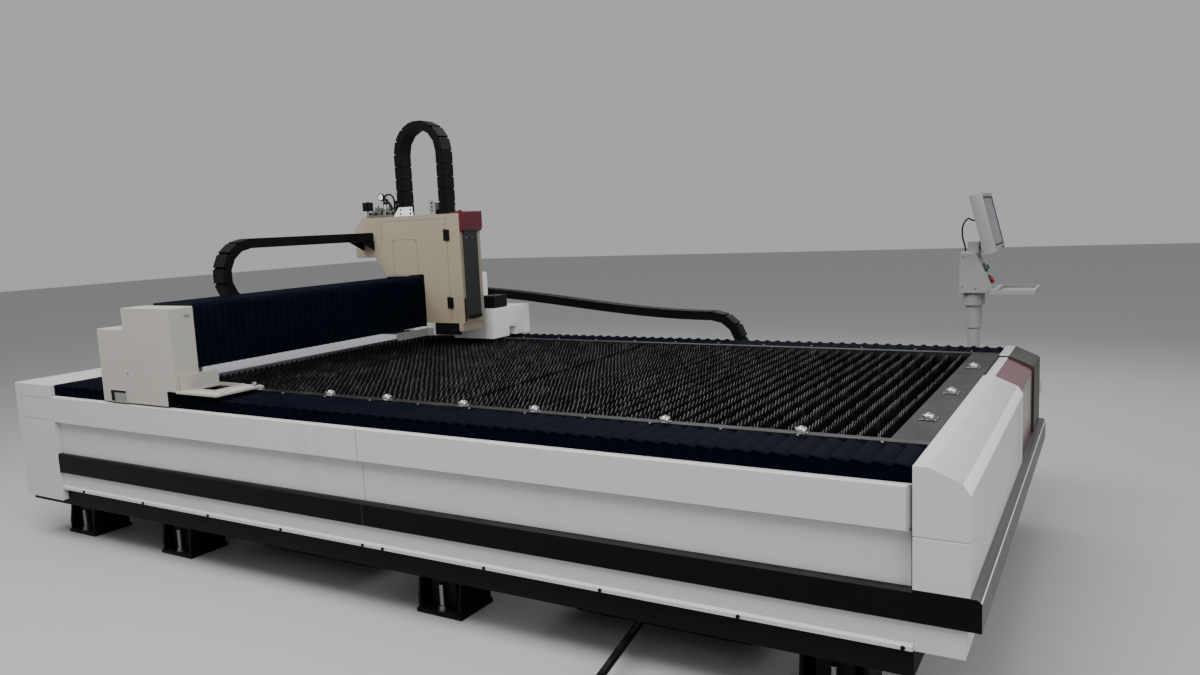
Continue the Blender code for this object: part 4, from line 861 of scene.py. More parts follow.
# Ball transfer units on the table's rails and end plate

ballSettings = {
    "nodes": ("table_near_rail", "table_right_plate"),
    "ball": 0.0125,
    "cup": 0.0195,
    "flange": 0.0208,
    "drop": 0.0226,
    "base": 0.029,
    "profile": ((1.0, 0.0030), (1.0, 0.0130), (0.90, 0.0160), (0.74, 0.0166), (0.66, 0.0120)),
    "screwShare": 0.82,
    "screw": 0.0028,
}


def ballTops(nodeName):
    # Middle of each ball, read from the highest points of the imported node
    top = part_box(nodeName)[1].z
    tops = []
    for vert in frameNodes[nodeName].data.vertices:
        if vert.co.z > top - 0.0015:
            for group in tops:
                if (group[0] - vert.co).length < 0.03:
                    group.append(vert.co.copy())
                    break
            else:
                tops.append([vert.co.copy()])
    return [sum(group, Vector()) / len(group) for group in tops]


def ballUnits():
    flange, cup, half = ballSettings["flange"], ballSettings["cup"], ballSettings["base"]
    profile = [(flange, 0.0), (flange, 0.0022)]
    profile += [(cup * share, level) for share, level in ballSettings["profile"]]
    corner = half * ballSettings["screwShare"]
    shape = bmesh.new()
    for nodeName in ballSettings["nodes"]:
        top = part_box(nodeName)[1].z
        deck = top - ballSettings["drop"] + 0.0002
        for middle in ballTops(nodeName):
            turnedInto(shape, Vector((middle.x, middle.y, deck)), axisZ, axisX, axisY, profile, 28)
            if nodeName == "table_right_plate":  # black base plate with four screws
                baseTop = deck + 0.0014
                low = (middle.x - half, middle.y - half, deck)
                boxInto(shape, low, (middle.x + half, middle.y + half, baseTop), part=1)
                for x in (-corner, corner):
                    for y in (-corner, corner):
                        spot = (middle.x + x, middle.y + y, baseTop)
                        screwInto(shape, spot, axisZ, ballSettings["screw"])
            radius = ballSettings["ball"]
            ball = bmesh.ops.create_uvsphere(shape, u_segments=20, v_segments=12, radius=radius)["verts"]
            bmesh.ops.translate(shape, vec=(middle.x, middle.y, top - 0.0120), verts=ball)
    settle("ballUnits", shape, ["brightSteel", "blackPlastic"], "bed", smooth=35)


print("ball units")
ballUnits()


# Screws along the table's rails

railSettings = {"pitch": 0.245, "radius": 0.0045, "inset": 0.012}


def tableScrews():
    shape = bmesh.new()
    for nodeName, side in (("table_near_rail", -1), ("table_far_rail", 1)):
        low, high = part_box(nodeName)
        outer = low.y if side < 0 else high.y
        count = int((high.x - low.x) / railSettings["pitch"])
        for i in range(count):
            x = low.x + (i + 0.5) * (high.x - low.x) / count
            screwInto(shape, (x, outer - side * railSettings["inset"], 0.8000), axisZ, railSettings["radius"])
    settle("tableScrews", shape, "boltSteel", "bed", smooth=30)


print("table screws")
tableScrews()


# Gantry's near cover: handle slot, screw and latch

nearCoverSettings = {
    "slotLow": (-1.4580, 0.7560),
    "slotHigh": (-1.3410, 0.8080),
    "rim": 0.0055,
    "screw": (-1.3127, 0.8899),
    "latch": (-1.0480, 1.1480),
    "latchSize": (0.016, 0.0062),
    "latchProfile": ((1.0, 0.0), (1.0, 0.0018), (0.86, 0.0026), (0.80, 0.0014)),
}


def nearCoverDetails():
    coverLow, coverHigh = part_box("near_end_cover")
    face = coverLow.y
    back = face + 0.001
    shape = bmesh.new()
    (left, bottom), (right, top) = nearCoverSettings["slotLow"], nearCoverSettings["slotHigh"]
    rim = nearCoverSettings["rim"]
    for x0, z0, x1, z1 in (
        (left - rim, bottom - rim * 0.4, right + rim, bottom), (left - rim, top, right + rim, top + rim),
        (left - rim, bottom, left, top), (right, bottom, right + rim, top),
    ):
        boxInto(shape, (x0, face - 0.0030, z0), (x1, back, z1))
    # Dark plate in the slot standing for the shadow inside it, and a paler box in its lower right standing
    # for the lit back wall: painted shade and painted light
    boxInto(shape, (left, face - 0.0006, bottom), (right, back, top), part=1)
    boxInto(shape, (left + 0.028, face - 0.0014, bottom + 0.001), (right - 0.004, face, top - 0.011), part=2)
    looks = ["bodyCream", "blackPlastic", "rimGrey"]
    settle("handleSlot", shape, looks, "gantry", bevel=0.0012)
    shape = bmesh.new()
    x, z = nearCoverSettings["screw"]
    screwInto(shape, (x, face, z), (0, -1, 0), 0.0042)
    settle("coverScrews", shape, "boltSteel", "gantry", smooth=30)
    shape = bmesh.new()
    y, z = nearCoverSettings["latch"]
    wide, tall = nearCoverSettings["latchSize"]
    middle = Vector((coverHigh.x, y, z))
    turnedInto(shape, middle, axisX, axisY * wide, axisZ * tall, nearCoverSettings["latchProfile"], 24)
    settle("coverLatch", shape, "rimGrey", "gantry", smooth=35)


print("near cover details")
nearCoverDetails()


# Shield beside the near cover: a folded frame round an open window, with its step and knob

shieldSettings = {
    "windowLow": (-0.9700, -1.0760),
    "windowHigh": (-0.8060, -0.9240),
    "thickness": 0.010,
    "lip": 0.006,
    "lipWidth": 0.004,
    "knob": (-0.7330, -0.9260),
    "screws": (0.018, 0.036, 0.052),
}


def shieldFrame():
    low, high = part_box("shield_frame")
    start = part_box("near_end_cover")[1].x + gap
    top = low.z + shieldSettings["thickness"]
    (left, near), (right, far) = shieldSettings["windowLow"], shieldSettings["windowHigh"]
    shape = bmesh.new()
    for x0, y0, x1, y1 in (
        (start, low.y, high.x, near), (start, far, high.x, high.y),
        (right, near, high.x, far), (start, near, left, far),
    ):
        boxInto(shape, (x0, y0, low.z), (x1, y1, top))
    width = shieldSettings["lipWidth"]
    for x0, y0, x1, y1 in (
        (left, near - width, right, near), (left, far, right, far + width),
        (right, near - width, right + width, far + width),
    ):
        boxInto(shape, (x0, y0, top - 0.001), (x1, y1, top + shieldSettings["lip"]))
    boxInto(shape, (start, low.y + 0.020, low.z), (start - gap + 0.012, high.y - 0.020, high.z))
    piece = settle("shieldFrame", shape, "bodyCream", "gantry", bevel=0.0012)
    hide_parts("shield_frame")
    shape = bmesh.new()
    x, y = shieldSettings["knob"]
    rodInto(shape, (x, y, top), axisZ, 0.0060, 0.008, 16)
    rodInto(shape, (x, y, top + 0.008), axisZ, 0.0105, 0.011, 20, 0.0090)
    for offset in shieldSettings["screws"]:
        screwInto(shape, (high.x - 0.016 - offset * 0.35, low.y + 0.030 + offset, top), axisZ, 0.0046)
    settle("shieldKnob", shape, "brightSteel", "gantry", smooth=35)


print("shield")
shieldFrame()


# Carriage: access panel, fold lines and door seam on its near face

panelSettings = {
    "low": (-1.2010, 1.2040), "high": (-1.0140, 1.4215), "line": 0.0013, "screw": 0.0036,
    "seam": (-1.2830, 1.4130, 1.5500), "fold": (1.5330, -1.2400, -0.7860),
    "smallScrews": ((-1.2880, 1.3960), (-1.2870, 1.0900), (-0.8060, 1.5000)),
}


def carriageDetails():
    face = carriageFace
    shape = bmesh.new()
    (left, bottom), (right, top) = panelSettings["low"], panelSettings["high"]
    line = panelSettings["line"]
    strips = [
        (left, bottom, right, bottom + line), (left, top - line, right, top),
        (left, bottom, left + line, top), (right - line, bottom, right, top),
    ]
    seamX, seamLow, seamHigh = panelSettings["seam"]
    strips.append((seamX, seamLow, seamX + line, seamHigh))
    foldZ, foldLeft, foldRight = panelSettings["fold"]
    strips.append((foldLeft, foldZ, foldRight, foldZ + line))
    strips.append((doorLow.x + 0.0052, doorLow.z + 0.001, doorLow.x + 0.0068, doorHigh.z - 0.001))
    for x0, z0, x1, z1 in strips:
        boxInto(shape, (x0, face - 0.0004, z0), (x1, face + 0.0008, z1))
    settle("carriageSeams", shape, "seamShade", "carriage")
    shape = bmesh.new()
    inset = 0.010
    for x in (left + inset, right - inset):
        for z in (bottom + inset, top - inset):
            screwInto(shape, (x, face, z), (0, -1, 0), panelSettings["screw"])
    for x, z in panelSettings["smallScrews"]:
        screwInto(shape, (x, face, z), (0, -1, 0), panelSettings["screw"] * 0.9)
    settle("carriageScrews", shape, "boltSteel", "carriage", smooth=30)
    # Housing side of each hinge
    shape = bmesh.new()
    pinX, leafFace = doorLow.x + 0.006, face - 0.0022
    for middle in (1.050, 1.440):
        for low, high in ((-0.033, -0.0305), (0.0305, 0.033)):
            rodInto(shape, (pinX, face - 0.0063, middle + low), axisZ, 0.0058, high - low, 14)
        low, high = (pinX - 0.022, leafFace, middle - 0.033), (pinX - 0.0070, face + 0.001, middle + 0.033)
        boxInto(shape, low, high)
        for z in (-0.020, 0.0, 0.020):
            screwInto(shape, (pinX - 0.0150, leafFace, middle + z), (0, -1, 0), 0.0024)
    settle("hingeLeaves", shape, "blackPlastic", "carriage", smooth=30)


print("carriage details")
carriageDetails()


# Column: brush strip at its foot, screws, side strips

columnSettings = {"screwLevel": 1.420, "brushLow": 0.9552, "brushHigh": 0.9740, "bristles": 46}


def columnDetails():
    low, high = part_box("head_column")
    shape = bmesh.new()
    for y in (low.y + 0.016, high.y - 0.050):
        screwInto(shape, (high.x, y, columnSettings["screwLevel"]), (1, 0, 0), 0.0040)
    settle("columnScrews", shape, "brightSteel", "head", smooth=30)
    shape = bmesh.new()
    bottom, top = columnSettings["brushLow"], columnSettings["brushHigh"]
    boxInto(shape, (high.x, low.y + 0.001, top - 0.007), (high.x + 0.0040, high.y - 0.001, top))
    step = (high.y - low.y - 0.004) / columnSettings["bristles"]
    for i in range(columnSettings["bristles"]):
        y = low.y + 0.002 + i * step
        tip = random.uniform(0.0, 0.0012)
        boxInto(shape, (high.x + 0.0006, y, bottom + tip), (high.x + 0.0032, y + step * 0.78, top - 0.006))
    settle("columnBrush", shape, "blackPlastic", "head")
    shape = bmesh.new()
    boxInto(shape, (-0.6935, 0.5300, 0.9400), (-0.6920, 0.5440, 1.0750))
    boxInto(shape, (-0.6935, 0.6700, 0.9550), (-0.6922, 0.7020, 1.0900), part=1)
    settle("columnSideStrips", shape, ["blackPlastic", "rimGrey"], "carriage", bevel=0.0004)


print("column details")
columnDetails()


# Valve group on the carriage roof: rail, solenoid, regulator with its gauge, bent pipes

valveSettings = {
    "railLow": (-1.430, 0.575), "railHigh": (-1.232, 0.640, 1.5730),
    "railMiddle": -1.340,
    "coilLow": (-1.4640, 0.5640, 1.6020), "coilHigh": (-1.4120, 0.6020, 1.6540),
    "regulator": (-1.316, 0.606),
    "gauge": (-1.3150, 0.5700, 1.6800), "gaugeRadius": 0.023,
    "gaugeProfile": ((0.80, 0.014), (1.0, 0.011), (1.0, -0.002), (0.90, -0.004), (0.84, -0.001)),
    "blocks": ((-1.418, 0.020, 0.016), (-1.396, 0.018, 0.026), (-1.374, 0.020, 0.046), (-1.350, 0.020, 0.030),
               (-1.283, 0.024, 0.040), (-1.258, 0.020, 0.024), (-1.238, 0.014, 0.034)),
    "pipes": (  # steps between points, radius, sides, finish, points
        (7, 0.0055, 12, 0, (  # arch from the gauge over the fittings
            (-1.306, 0.590, 1.676), (-1.290, 0.590, 1.690), (-1.266, 0.590, 1.694), (-1.244, 0.590, 1.686),
            (-1.230, 0.590, 1.666), (-1.227, 0.590, 1.630), (-1.238, 0.594, 1.600))),
        (7, 0.0085, 14, 0, (  # thick elbow
            (-1.304, 0.600, 1.664), (-1.288, 0.598, 1.652), (-1.268, 0.596, 1.634), (-1.256, 0.596, 1.612),
            (-1.258, 0.598, 1.590))),
        (6, 0.0065, 12, 0, (
            (-1.226, 0.604, 1.655), (-1.222, 0.604, 1.630), (-1.224, 0.604, 1.600), (-1.236, 0.604, 1.585))),
        (7, 0.0045, 12, 4, (  # thin line round the rear
            (-1.404, 0.630, 1.582), (-1.440, 0.640, 1.592), (-1.480, 0.650, 1.592), (-1.508, 0.655, 1.574),
            (-1.516, 0.655, 1.535), (-1.514, 0.655, 1.470), (-1.512, 0.655, 1.420))),
    ),
}


def valveGroup():
    shape = bmesh.new()
    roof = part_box("gas_valve_block")[0].z
    railLow, railHigh = valveSettings["railLow"], valveSettings["railHigh"]
    deck = railHigh[2]
    boxInto(shape, (railLow[0], railLow[1], roof + 0.003), railHigh, part=1)
    for x in (railLow[0] + 0.014, valveSettings["railMiddle"], railHigh[0] - 0.014):
        low, high = (x - 0.010, railLow[1] + 0.004, roof), (x + 0.010, railHigh[1] - 0.004, roof + 0.003)
        boxInto(shape, low, high)
        for y in (railLow[1] + 0.006, railHigh[1] - 0.010):
            screwInto(shape, (x, y, deck), axisZ, 0.0042, part=1)
    # Manifold: a row of ported blocks with their plugs
    for number, (x, wide, tall) in enumerate(valveSettings["blocks"]):
        boxInto(shape, (x - wide / 2, 0.588, deck), (x + wide / 2, 0.628, deck + tall), part=1)
        rodInto(shape, (x, 0.588, deck + 0.009), (0, -1, 0), 0.0070, 0.012, 6, part=2 if number % 2 else 0)
        rodInto(shape, (x, 0.606, deck + tall), axisZ, 0.0060, 0.008, 6, part=2)
        rodInto(shape, (x, 0.606, deck + tall + 0.008), axisZ, 0.0042, 0.006, 12)
    # Solenoid coil on its stem
    coilLow, coilHigh = Vector(valveSettings["coilLow"]), Vector(valveSettings["coilHigh"])
    stem = (coilLow + coilHigh) / 2
    rodInto(shape, (stem.x, stem.y, roof), axisZ, 0.013, 0.014, 6, part=2)
    rodInto(shape, (stem.x, stem.y, roof + 0.014), axisZ, 0.0080, coilLow.z - roof - 0.014, 16, part=1)
    boxInto(shape, coilLow, coilHigh)
    low, high = coilLow + Vector((0.010, -0.006, 0.010)), (coilHigh.x - 0.010, coilLow.y, coilHigh.z - 0.010)
    boxInto(shape, low, high)
    rodInto(shape, (stem.x, stem.y, coilHigh.z), axisZ, 0.0085, 0.006, 6, part=1)
    # Regulator: body, ring, bonnet and knob
    foot = Vector((*valveSettings["regulator"], deck))
    rodInto(shape, foot, axisZ, 0.020, 0.032, 24, part=1)
    rodInto(shape, foot + axisZ * 0.032, axisZ, 0.023, 0.006, 24, part=1)
    rodInto(shape, foot + axisZ * 0.038, axisZ, 0.018, 0.026, 24, 0.0125, part=1)
    rodInto(shape, foot + axisZ * 0.064, axisZ, 0.0135, 0.014, 10)
    # Gauge facing the operator, with its rim, dial, hand and stem
    middle = Vector(valveSettings["gauge"])
    radius = valveSettings["gaugeRadius"]
    profile = valveSettings["gaugeProfile"]
    turnedInto(shape, middle, axisY, axisX * radius, axisZ * radius, profile, 28)
    rodInto(shape, middle - axisY * 0.0010, (0, -1, 0), radius * 0.80, 0.0014, 28, part=3)
    boxInto(shape, middle + Vector((-0.001, -0.0034, 0.0)), middle + Vector((0.001, -0.0026, radius * 0.62)))
    rodInto(shape, middle + axisY * 0.010, (0.0, 0.60, -1.0), 0.0060, 0.036, 12, part=1)
    # Bent pipes with their nuts and a clip
    for steps, radius, sides, part, route in valveSettings["pipes"]:
        tubeInto(shape, smoothRoute(route, steps), radius, sides, part)
    rodInto(shape, (-1.304, 0.600, 1.668), (0.75, -0.05, -0.6), 0.0115, 0.012, 6, part=1)
    rodInto(shape, (-1.512, 0.655, 1.4120), axisZ, 0.0082, 0.016, 6, part=2)
    boxInto(shape, (-1.5125, 0.647, 1.470), (-1.5033, 0.663, 1.482), part=1)
    looks = ["blackPlastic", "boltSteel", "brassFitting", "boxWhite", "pipeGrey"]
    piece = settle("valveGroup", shape, looks, "carriage", smooth=30)
    roundEdges(piece, 0.0010, 1)
    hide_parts("gas_valve_block")


print("valve group")
valveGroup()


# Drag chains and the brackets that hold them to the carriage

chainSettings = {
    "pitch": 0.072,
    "plate": 0.006,
    "lid": 0.004,
    "inset": 0.0015,  # of the lids between the side plates
    "seam": 0.0050,  # open line between two lids
    "archExtra": 0.004,  # how much wider the head's chain is on each side
    "sagSteps": 60,
    "cables": ((-0.022, 0.007), (0.0, 0.009), (0.021, 0.006)),  # places across and radii
}
bracketSettings = {
    # outlines as x and z, None standing for the roof
    "plate": ((-1.209, None), (-1.056, None), (-1.062, 1.612), (-1.165, 1.612)),
    "post": ((-0.945, None), (-0.900, None), (-0.900, 1.634),
             (-0.909, 1.643), (-0.936, 1.643), (-0.945, 1.634)),
    "screwPlaces": (-1.150, -1.075),
    "screwLevels": (1.598, 1.573),
    "holeLevels": (1.584, 1.605, 1.626),
    "crossEnd": 0.405,
    "crossTop": 1.362,
    "crossPlate": 0.0025,
}


def chainBrackets():
    archLow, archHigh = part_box("z_chain")
    roof = archLow.z
    near = archLow.y - chainSettings["archExtra"]
    far = archHigh.y + chainSettings["archExtra"]
    shape = bmesh.new()
    plate, post = (
        [(x, 0, roof if z is None else z) for x, z in bracketSettings[key]] for key in ("plate", "post")
    )
    plateInto(shape, plate, (0, near - 0.0045, 0), (0, near - 0.0015, 0))
    for x in bracketSettings["screwPlaces"]:
        for z in bracketSettings["screwLevels"]:
            screwInto(shape, (x, near - 0.0045, z), (0, -1, 0), 0.0052, part=2)
    plateInto(shape, post, (0, near + 0.010, 0), (0, near + 0.014, 0), part=1)
    for z in bracketSettings["holeLevels"]:
        rodInto(shape, (-0.9225, near + 0.0102, z), (0, -1, 0), 0.0060, 0.0006, 16, part=2)
    boxInto(shape, (-0.900, near + 0.010, roof), (-0.8980, near + 0.060, 1.630), part=1)
    boxInto(shape, (-0.890, near + 0.006, roof), (-0.884, far - 0.006, 1.588), part=2)
    rodInto(shape, (-0.742, 0.560, 1.5770), axisZ, 0.0030, 0.030, 12, part=1)
    looks = ["boxWhite", "rimGrey", "blackPlastic"]
    settle("archBrackets", shape, looks, "carriage", bevel=0.0006)
    shape = bmesh.new()
    low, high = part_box("y_chain_upper")
    end, thick = bracketSettings["crossEnd"], bracketSettings["crossPlate"]
    foot = low.z - 0.002
    for x in (low.x - thick, high.x):
        outline = [(x, high.y, foot), (x, end, foot), (x, high.y, bracketSettings["crossTop"])]
        plateInto(shape, outline, (0, 0, 0), (thick, 0, 0))
    boxInto(shape, (low.x - thick, end, foot - 0.0025), (high.x + thick, high.y, foot + 0.0005))
    settle("crossChainBracket", shape, "frameBlack", "carriage")


print("chain brackets")
chainBrackets()


# Drive housing on the gantry's far box

driveSettings = {"low": (-0.800, 0.820), "high": (-0.700, 0.950), "top": 1.0600, "depth": 0.2010, "ribs": 5}


def farEndDetails():
    shape = bmesh.new()
    (left, near), (right, far) = driveSettings["low"], driveSettings["high"]
    top = driveSettings["top"]
    boxInto(shape, (left, near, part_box("far_end_cover")[1].z - driveSettings["depth"]), (right, far, top))
    for x in (left + 0.014, right - 0.014):
        for y in (near + 0.014, far - 0.014):
            rodInto(shape, (x, y, top), axisZ, 0.0046, 0.005, 6)
    for k in range(driveSettings["ribs"]):
        level = 1.000 + k * 0.011
        boxInto(shape, (left - 0.002, near - 0.002, level), (right + 0.002, far + 0.002, level + 0.004))
    settle("driveHousing", shape, "blackPlastic", "gantry", bevel=0.0012)


print("far end")
farEndDetails()


# Guard plate under the beam bellows, carried by the carriage

guardSettings = {
    "lead": 0.0135,  # in front of the near cover, to pass the shield's step
    "thickness": 0.0040,
    "outline": ((0.5212, 0.9000), (0.5212, 0.8560), (0.2660, 0.8560), (0.2490, 0.8620), (0.2420, 0.8760),
                (0.2480, 0.8920), (0.2640, 0.9000)),
    "flange": ((0.5160, 0.8560), (0.5212, 0.9000)),
    "depth": 0.040,
    "screws": ((0.300, 0.8780), (0.480, 0.8780)),
}


def guardPlate():
    shape = bmesh.new()
    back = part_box("near_end_cover")[1].x + guardSettings["lead"]
    front = back + guardSettings["thickness"]
    outline = [(0, y, z) for y, z in guardSettings["outline"]]
    plateInto(shape, outline, (back, 0, 0), (front, 0, 0))
    for y, z in guardSettings["screws"]:
        screwInto(shape, (front, y, z), (1, 0, 0), 0.0040, part=1)
    flangeLow, flangeHigh = guardSettings["flange"]
    boxInto(shape, (back, *flangeLow), (back + guardSettings["depth"], *flangeHigh))
    settle("guardPlate", shape, ["rimGrey", "boltSteel"], "carriage", bevel=0.0012)


print("guard plate")
guardPlate()


# End flanges of the beam bellows, on the carriage and at both ends of the gantry

flangeSettings = {
    "thickness": 0.0030,
    "corner": (0.030, 0.009),
    "screw": 0.0024,
    "levels": (0.940, 1.020, 1.100),
}


def bellowsFlange(name, nodeName, y, inward, body, rise):
    clothLow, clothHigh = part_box(nodeName)
    left, right = clothLow.x, clothHigh.x + rise
    foot, top = clothLow.z - 0.002, clothHigh.z + rise
    wide, fine = flangeSettings["corner"]
    inner = inward * flangeSettings["thickness"]
    outline = [
        (left, y, foot), (right, y, foot), (right, y, top - wide),
        (right - fine, y, top - fine), (right - wide, y, top), (left, y, top),
    ]
    shape = bmesh.new()
    plateInto(shape, outline, (0, inward * 0.0002, 0), (0, inner, 0))
    if rise:
        for z in flangeSettings["levels"]:
            screwInto(shape, (right - 0.0034, y + inner, z), (0, inward, 0), flangeSettings["screw"])
    settle(name, shape, "frameBlack", body)


print("bellows flanges")
nearLow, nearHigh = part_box("beam_bellows_near")
farLow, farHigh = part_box("beam_bellows_far")
bellowsFlange("nearCarriageFlange", "beam_bellows_near", nearHigh.y, -1, "carriage", 0.007)
bellowsFlange("nearCoverFlange", "beam_bellows_near", nearLow.y, 1, "gantry", 0)
bellowsFlange("farCarriageFlange", "beam_bellows_far", farLow.y, 1, "carriage", 0)
bellowsFlange("farCoverFlange", "beam_bellows_far", farHigh.y, -1, "gantry", 0)


# Console: button plates, screws and the monitor's screen

consoleSettings = {
    "slopeTop": (1.9460, 0, 1.2330),
    "slopeFoot": (2.0180, 0, 1.0700),
    "plates": ((0.08, 0.34, 0.034), (0.44, 0.70, 0.048)),  # start and end along the slope, half width
    "lamps": (0.90, (-0.018, 0.0, 0.018)),
    "screws": ((1.880, 1.070), (1.880, 1.225), (1.940, 1.060)),
    "screenCorner": (2.0419, 1.1895, 1.2760),
    "screenSize": (0.3410, 0.2490),
    "bezel": 0.009,
    "keys": 5,
    "keyPitch": 0.018,
}


def consoleDetails():
    stopLow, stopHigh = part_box("emergency_stop")
    top, bottom = Vector(consoleSettings["slopeTop"]), Vector(consoleSettings["slopeFoot"])
    along = (top - bottom).normalized()
    outward = Vector((along.z, 0, -along.x)).normalized()
    middleY = (stopLow.y + stopHigh.y) / 2

    def facePoint(share, offset):
        point = bottom.lerp(top, share)
        return Vector((point.x, middleY + offset, point.z))

    # Generic plates round the buttons and small lamps above them, without any lettering
    shape = bmesh.new()
    for first, last, half in consoleSettings["plates"]:
        corners = ((first, -half), (first, half), (last, half), (last, -half))
        plateInto(shape, [facePoint(*corner) for corner in corners], outward * 0.0002, outward * 0.0016)
    share, offsets = consoleSettings["lamps"]
    for offset in offsets:
        rodInto(shape, facePoint(share, offset), outward, 0.0042, 0.0030, 14, part=1)
    settle("buttonPlates", shape, ["blackPlastic", "startGreen"], "console", smooth=30)
    shape = bmesh.new()
    for x, z in consoleSettings["screws"]:
        screwInto(shape, (x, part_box("console_box")[0].y, z), (0, -1, 0), 0.0036)
    settle("consoleScrews", shape, "boltSteel", "console", smooth=30)
    # Screen: glass in the monitor's recess, a gasket round it and small keys below
    upward = Vector((-screenNormal.z, 0, screenNormal.x))
    corner = Vector(consoleSettings["screenCorner"])
    width, height = consoleSettings["screenSize"]
    rim = consoleSettings["bezel"]
    shape = bmesh.new()
    for left, foot, right, head, deep, part in (
        (rim, rim, width - rim, height - rim, 0.0010, 0),
        (0.0005, 0.0005, width - 0.0005, rim, 0.0024, 1),
        (0.0005, height - rim, width - 0.0005, height - 0.0005, 0.0024, 1),
        (0.0005, rim, rim, height - rim, 0.0024, 1),
        (width - rim, rim, width - 0.0005, height - rim, 0.0024, 1),
    ):
        spots = ((left, foot), (right, foot), (right, head), (left, head))
        outline = [corner + axisY * y + upward * z for y, z in spots]
        plateInto(shape, outline, screenNormal * 0.0002, screenNormal * deep, part)
    for k in range(consoleSettings["keys"]):
        y = width - 0.045 - k * consoleSettings["keyPitch"]
        middle = corner + axisY * y - upward * 0.0150 + screenNormal * 0.0028
        rodInto(shape, middle, screenNormal, 0.0036, 0.0016, 14, part=1)
    looks = ["screenGlass", "blackPlastic"]
    settle("screen", shape, looks, "monitor", smooth=30, bevel=0.0004)


print("console details")
consoleDetails()


# Slats: toothed blades standing in the table

slatSettings = {
    "pitch": 0.057,
    "thickness": 0.003,
    "foot": 0.020,
    "toothPitch": 0.0345,
    "toothHeight": 0.020,
    "sway": 0.0035,
}


def slatBank(nodeName):
    low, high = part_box(nodeName)
    shape = bmesh.new()
    half = high.y
    foot = low.z + slatSettings["foot"]
    teeth = round(2 * half / slatSettings["toothPitch"])
    step = 2 * half / teeth
    count = int((high.x - low.x) / slatSettings["pitch"])
    first = (low.x + high.x - (count - 1) * slatSettings["pitch"]) / 2
    boxInto(shape, (low.x, -0.004, low.z), (high.x, 0.004, foot + 0.040))
    for i in range(count):
        centre = first + i * slatSettings["pitch"]
        phase = random.uniform(0, math.pi * 2)
        sway = random.uniform(0.3, 1.0) * slatSettings["sway"]
        thick = slatSettings["thickness"] / 2
        rings = []
        for k in range(2 * teeth + 1):
            y = -half + k * step / 2
            worn = random.uniform(0.0, 0.006) if random.random() < 0.35 else random.uniform(0.0, 0.0012)
            top = high.z - worn if k % 2 else high.z - slatSettings["toothHeight"]
            x = centre + sway * math.sin(y * 3.1 + phase) * min(1.0, (half - abs(y)) * 12)
            corners = ((x - thick, foot), (x + thick, foot), (x + thick, top), (x - thick, top))
            rings.append([Vector((across, y, level)) for across, level in corners])
        loftInto(shape, rings)
    piece = settle(nodeName + "_blades", shape, "slatSteel", "bed", smooth=20)
    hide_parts(nodeName)


print("slats")
slatBank("slat_bank_left")
slatBank("slat_bank_right")


# Roof bellows over the long rails

roofSettings = {
    "pitch": 0.058,
    "drop": 0.011,
    "skin": 0.002,
    "point": 0.010,
    "pointFrom": 0.90,
    "across": (0.0, 0.03, 0.50, 0.90, 0.97, 1.0),
    # one pleat as places along it and their heights: a flat tile lapping the next, and a zigzag
    "tile": ((0.0, 0.0), (0.02, 0.55), (0.05, 0.86), (0.12, 1.0), (0.45, 0.82), (0.80, 0.42), (0.96, 0.10)),
    "zigzag": ((0.0, 0.10), (0.06, 0.0), (0.50, 0.94), (0.56, 1.0), (0.62, 0.94), (0.94, 0.10)),
}


def roofBellows(nodeName, stretchy):
    low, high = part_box(nodeName)
    side = 1 if low.y > 0 else -1
    length = high.x - low.x
    count = max(3, round(length / roofSettings["pitch"]))
    step = length / count
    inner, outer = (low.y, high.y) if side > 0 else (high.y, low.y)
    shape = bmesh.new()
    skin, drop = roofSettings["skin"], roofSettings["drop"]
    pointFrom = roofSettings["pointFrom"]
    rings = []
    for i in range(count):
        for share, height in roofSettings["zigzag" if side > 0 else "tile"]:
            level = high.z - 0.0012 - drop * (1 - height)
            upper, lower = [], []
            for place in roofSettings["across"]:
                y = inner + (outer - inner) * place
                # the tile's outer end runs to a point
                lead = roofSettings["point"] * max(0.0, place - pointFrom) / (1.0 - pointFrom)
                x = low.x + (i + share) * step + (lead * (0.5 - share) if 0 < i else 0.0)
                edge = -0.0022 if place in (0.0, 1.0) else 0.0
                upper.append(Vector((x, y, level + edge)))
                lower.append(Vector((x, y, level - skin - drop * 0.15)))
            rings.append(upper + lower[::-1])
    rings.append([Vector((high.x, point.y, point.z)) for point in rings[0]])
    loftInto(shape, rings)
    # Upright curtain on the outer side, folded with the same pitch
    top = high.z - drop * 0.9
    curtain = []
    for i in range(count):
        for share in (0.0, 0.25, 0.5, 0.75):
            x = low.x + (i + share) * step
            face = outer - side * (0.004 * abs(math.sin(share * math.pi)) + 0.0005)
            back = face - side * skin
            corners = ((face, low.z), (face, top), (back, top), (back, low.z))
            curtain.append([Vector((x, y, z)) for y, z in corners])
    curtain.append([Vector((high.x, point.y, point.z)) for point in curtain[0]])
    loftInto(shape, curtain)
    body = None if stretchy else "bed"
    piece = settle(nodeName + "_cloth", shape, "roofCloth", body, smooth=18)
    if stretchy:
        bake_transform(piece)
    else:
        travel = frameTravel("gantry_x")
        (length - travel) / length
        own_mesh(piece)
    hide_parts(nodeName)


def frameTravel(jointName):
    joint = [entry for entry in frame["joints"] if entry["name"] == jointName][0]
    return max(abs(end) for end in joint["range_m"])


print("roof bellows")
for sideName in ("near", "far"):
    roofBellows(sideName + "_bellows_left", True)
    roofBellows(sideName + "_bellows_right", False)


# Beam bellows: upright pleats with a chamfered top corner

curtainSettings = {
    "pitch": 0.037,
    "depth": 0.007,
    "skin": 0.003,
    "chamfer": 0.030,
    "cornerSteps": 3,
    "steps": 6,
    "flange": 0.0034,
}


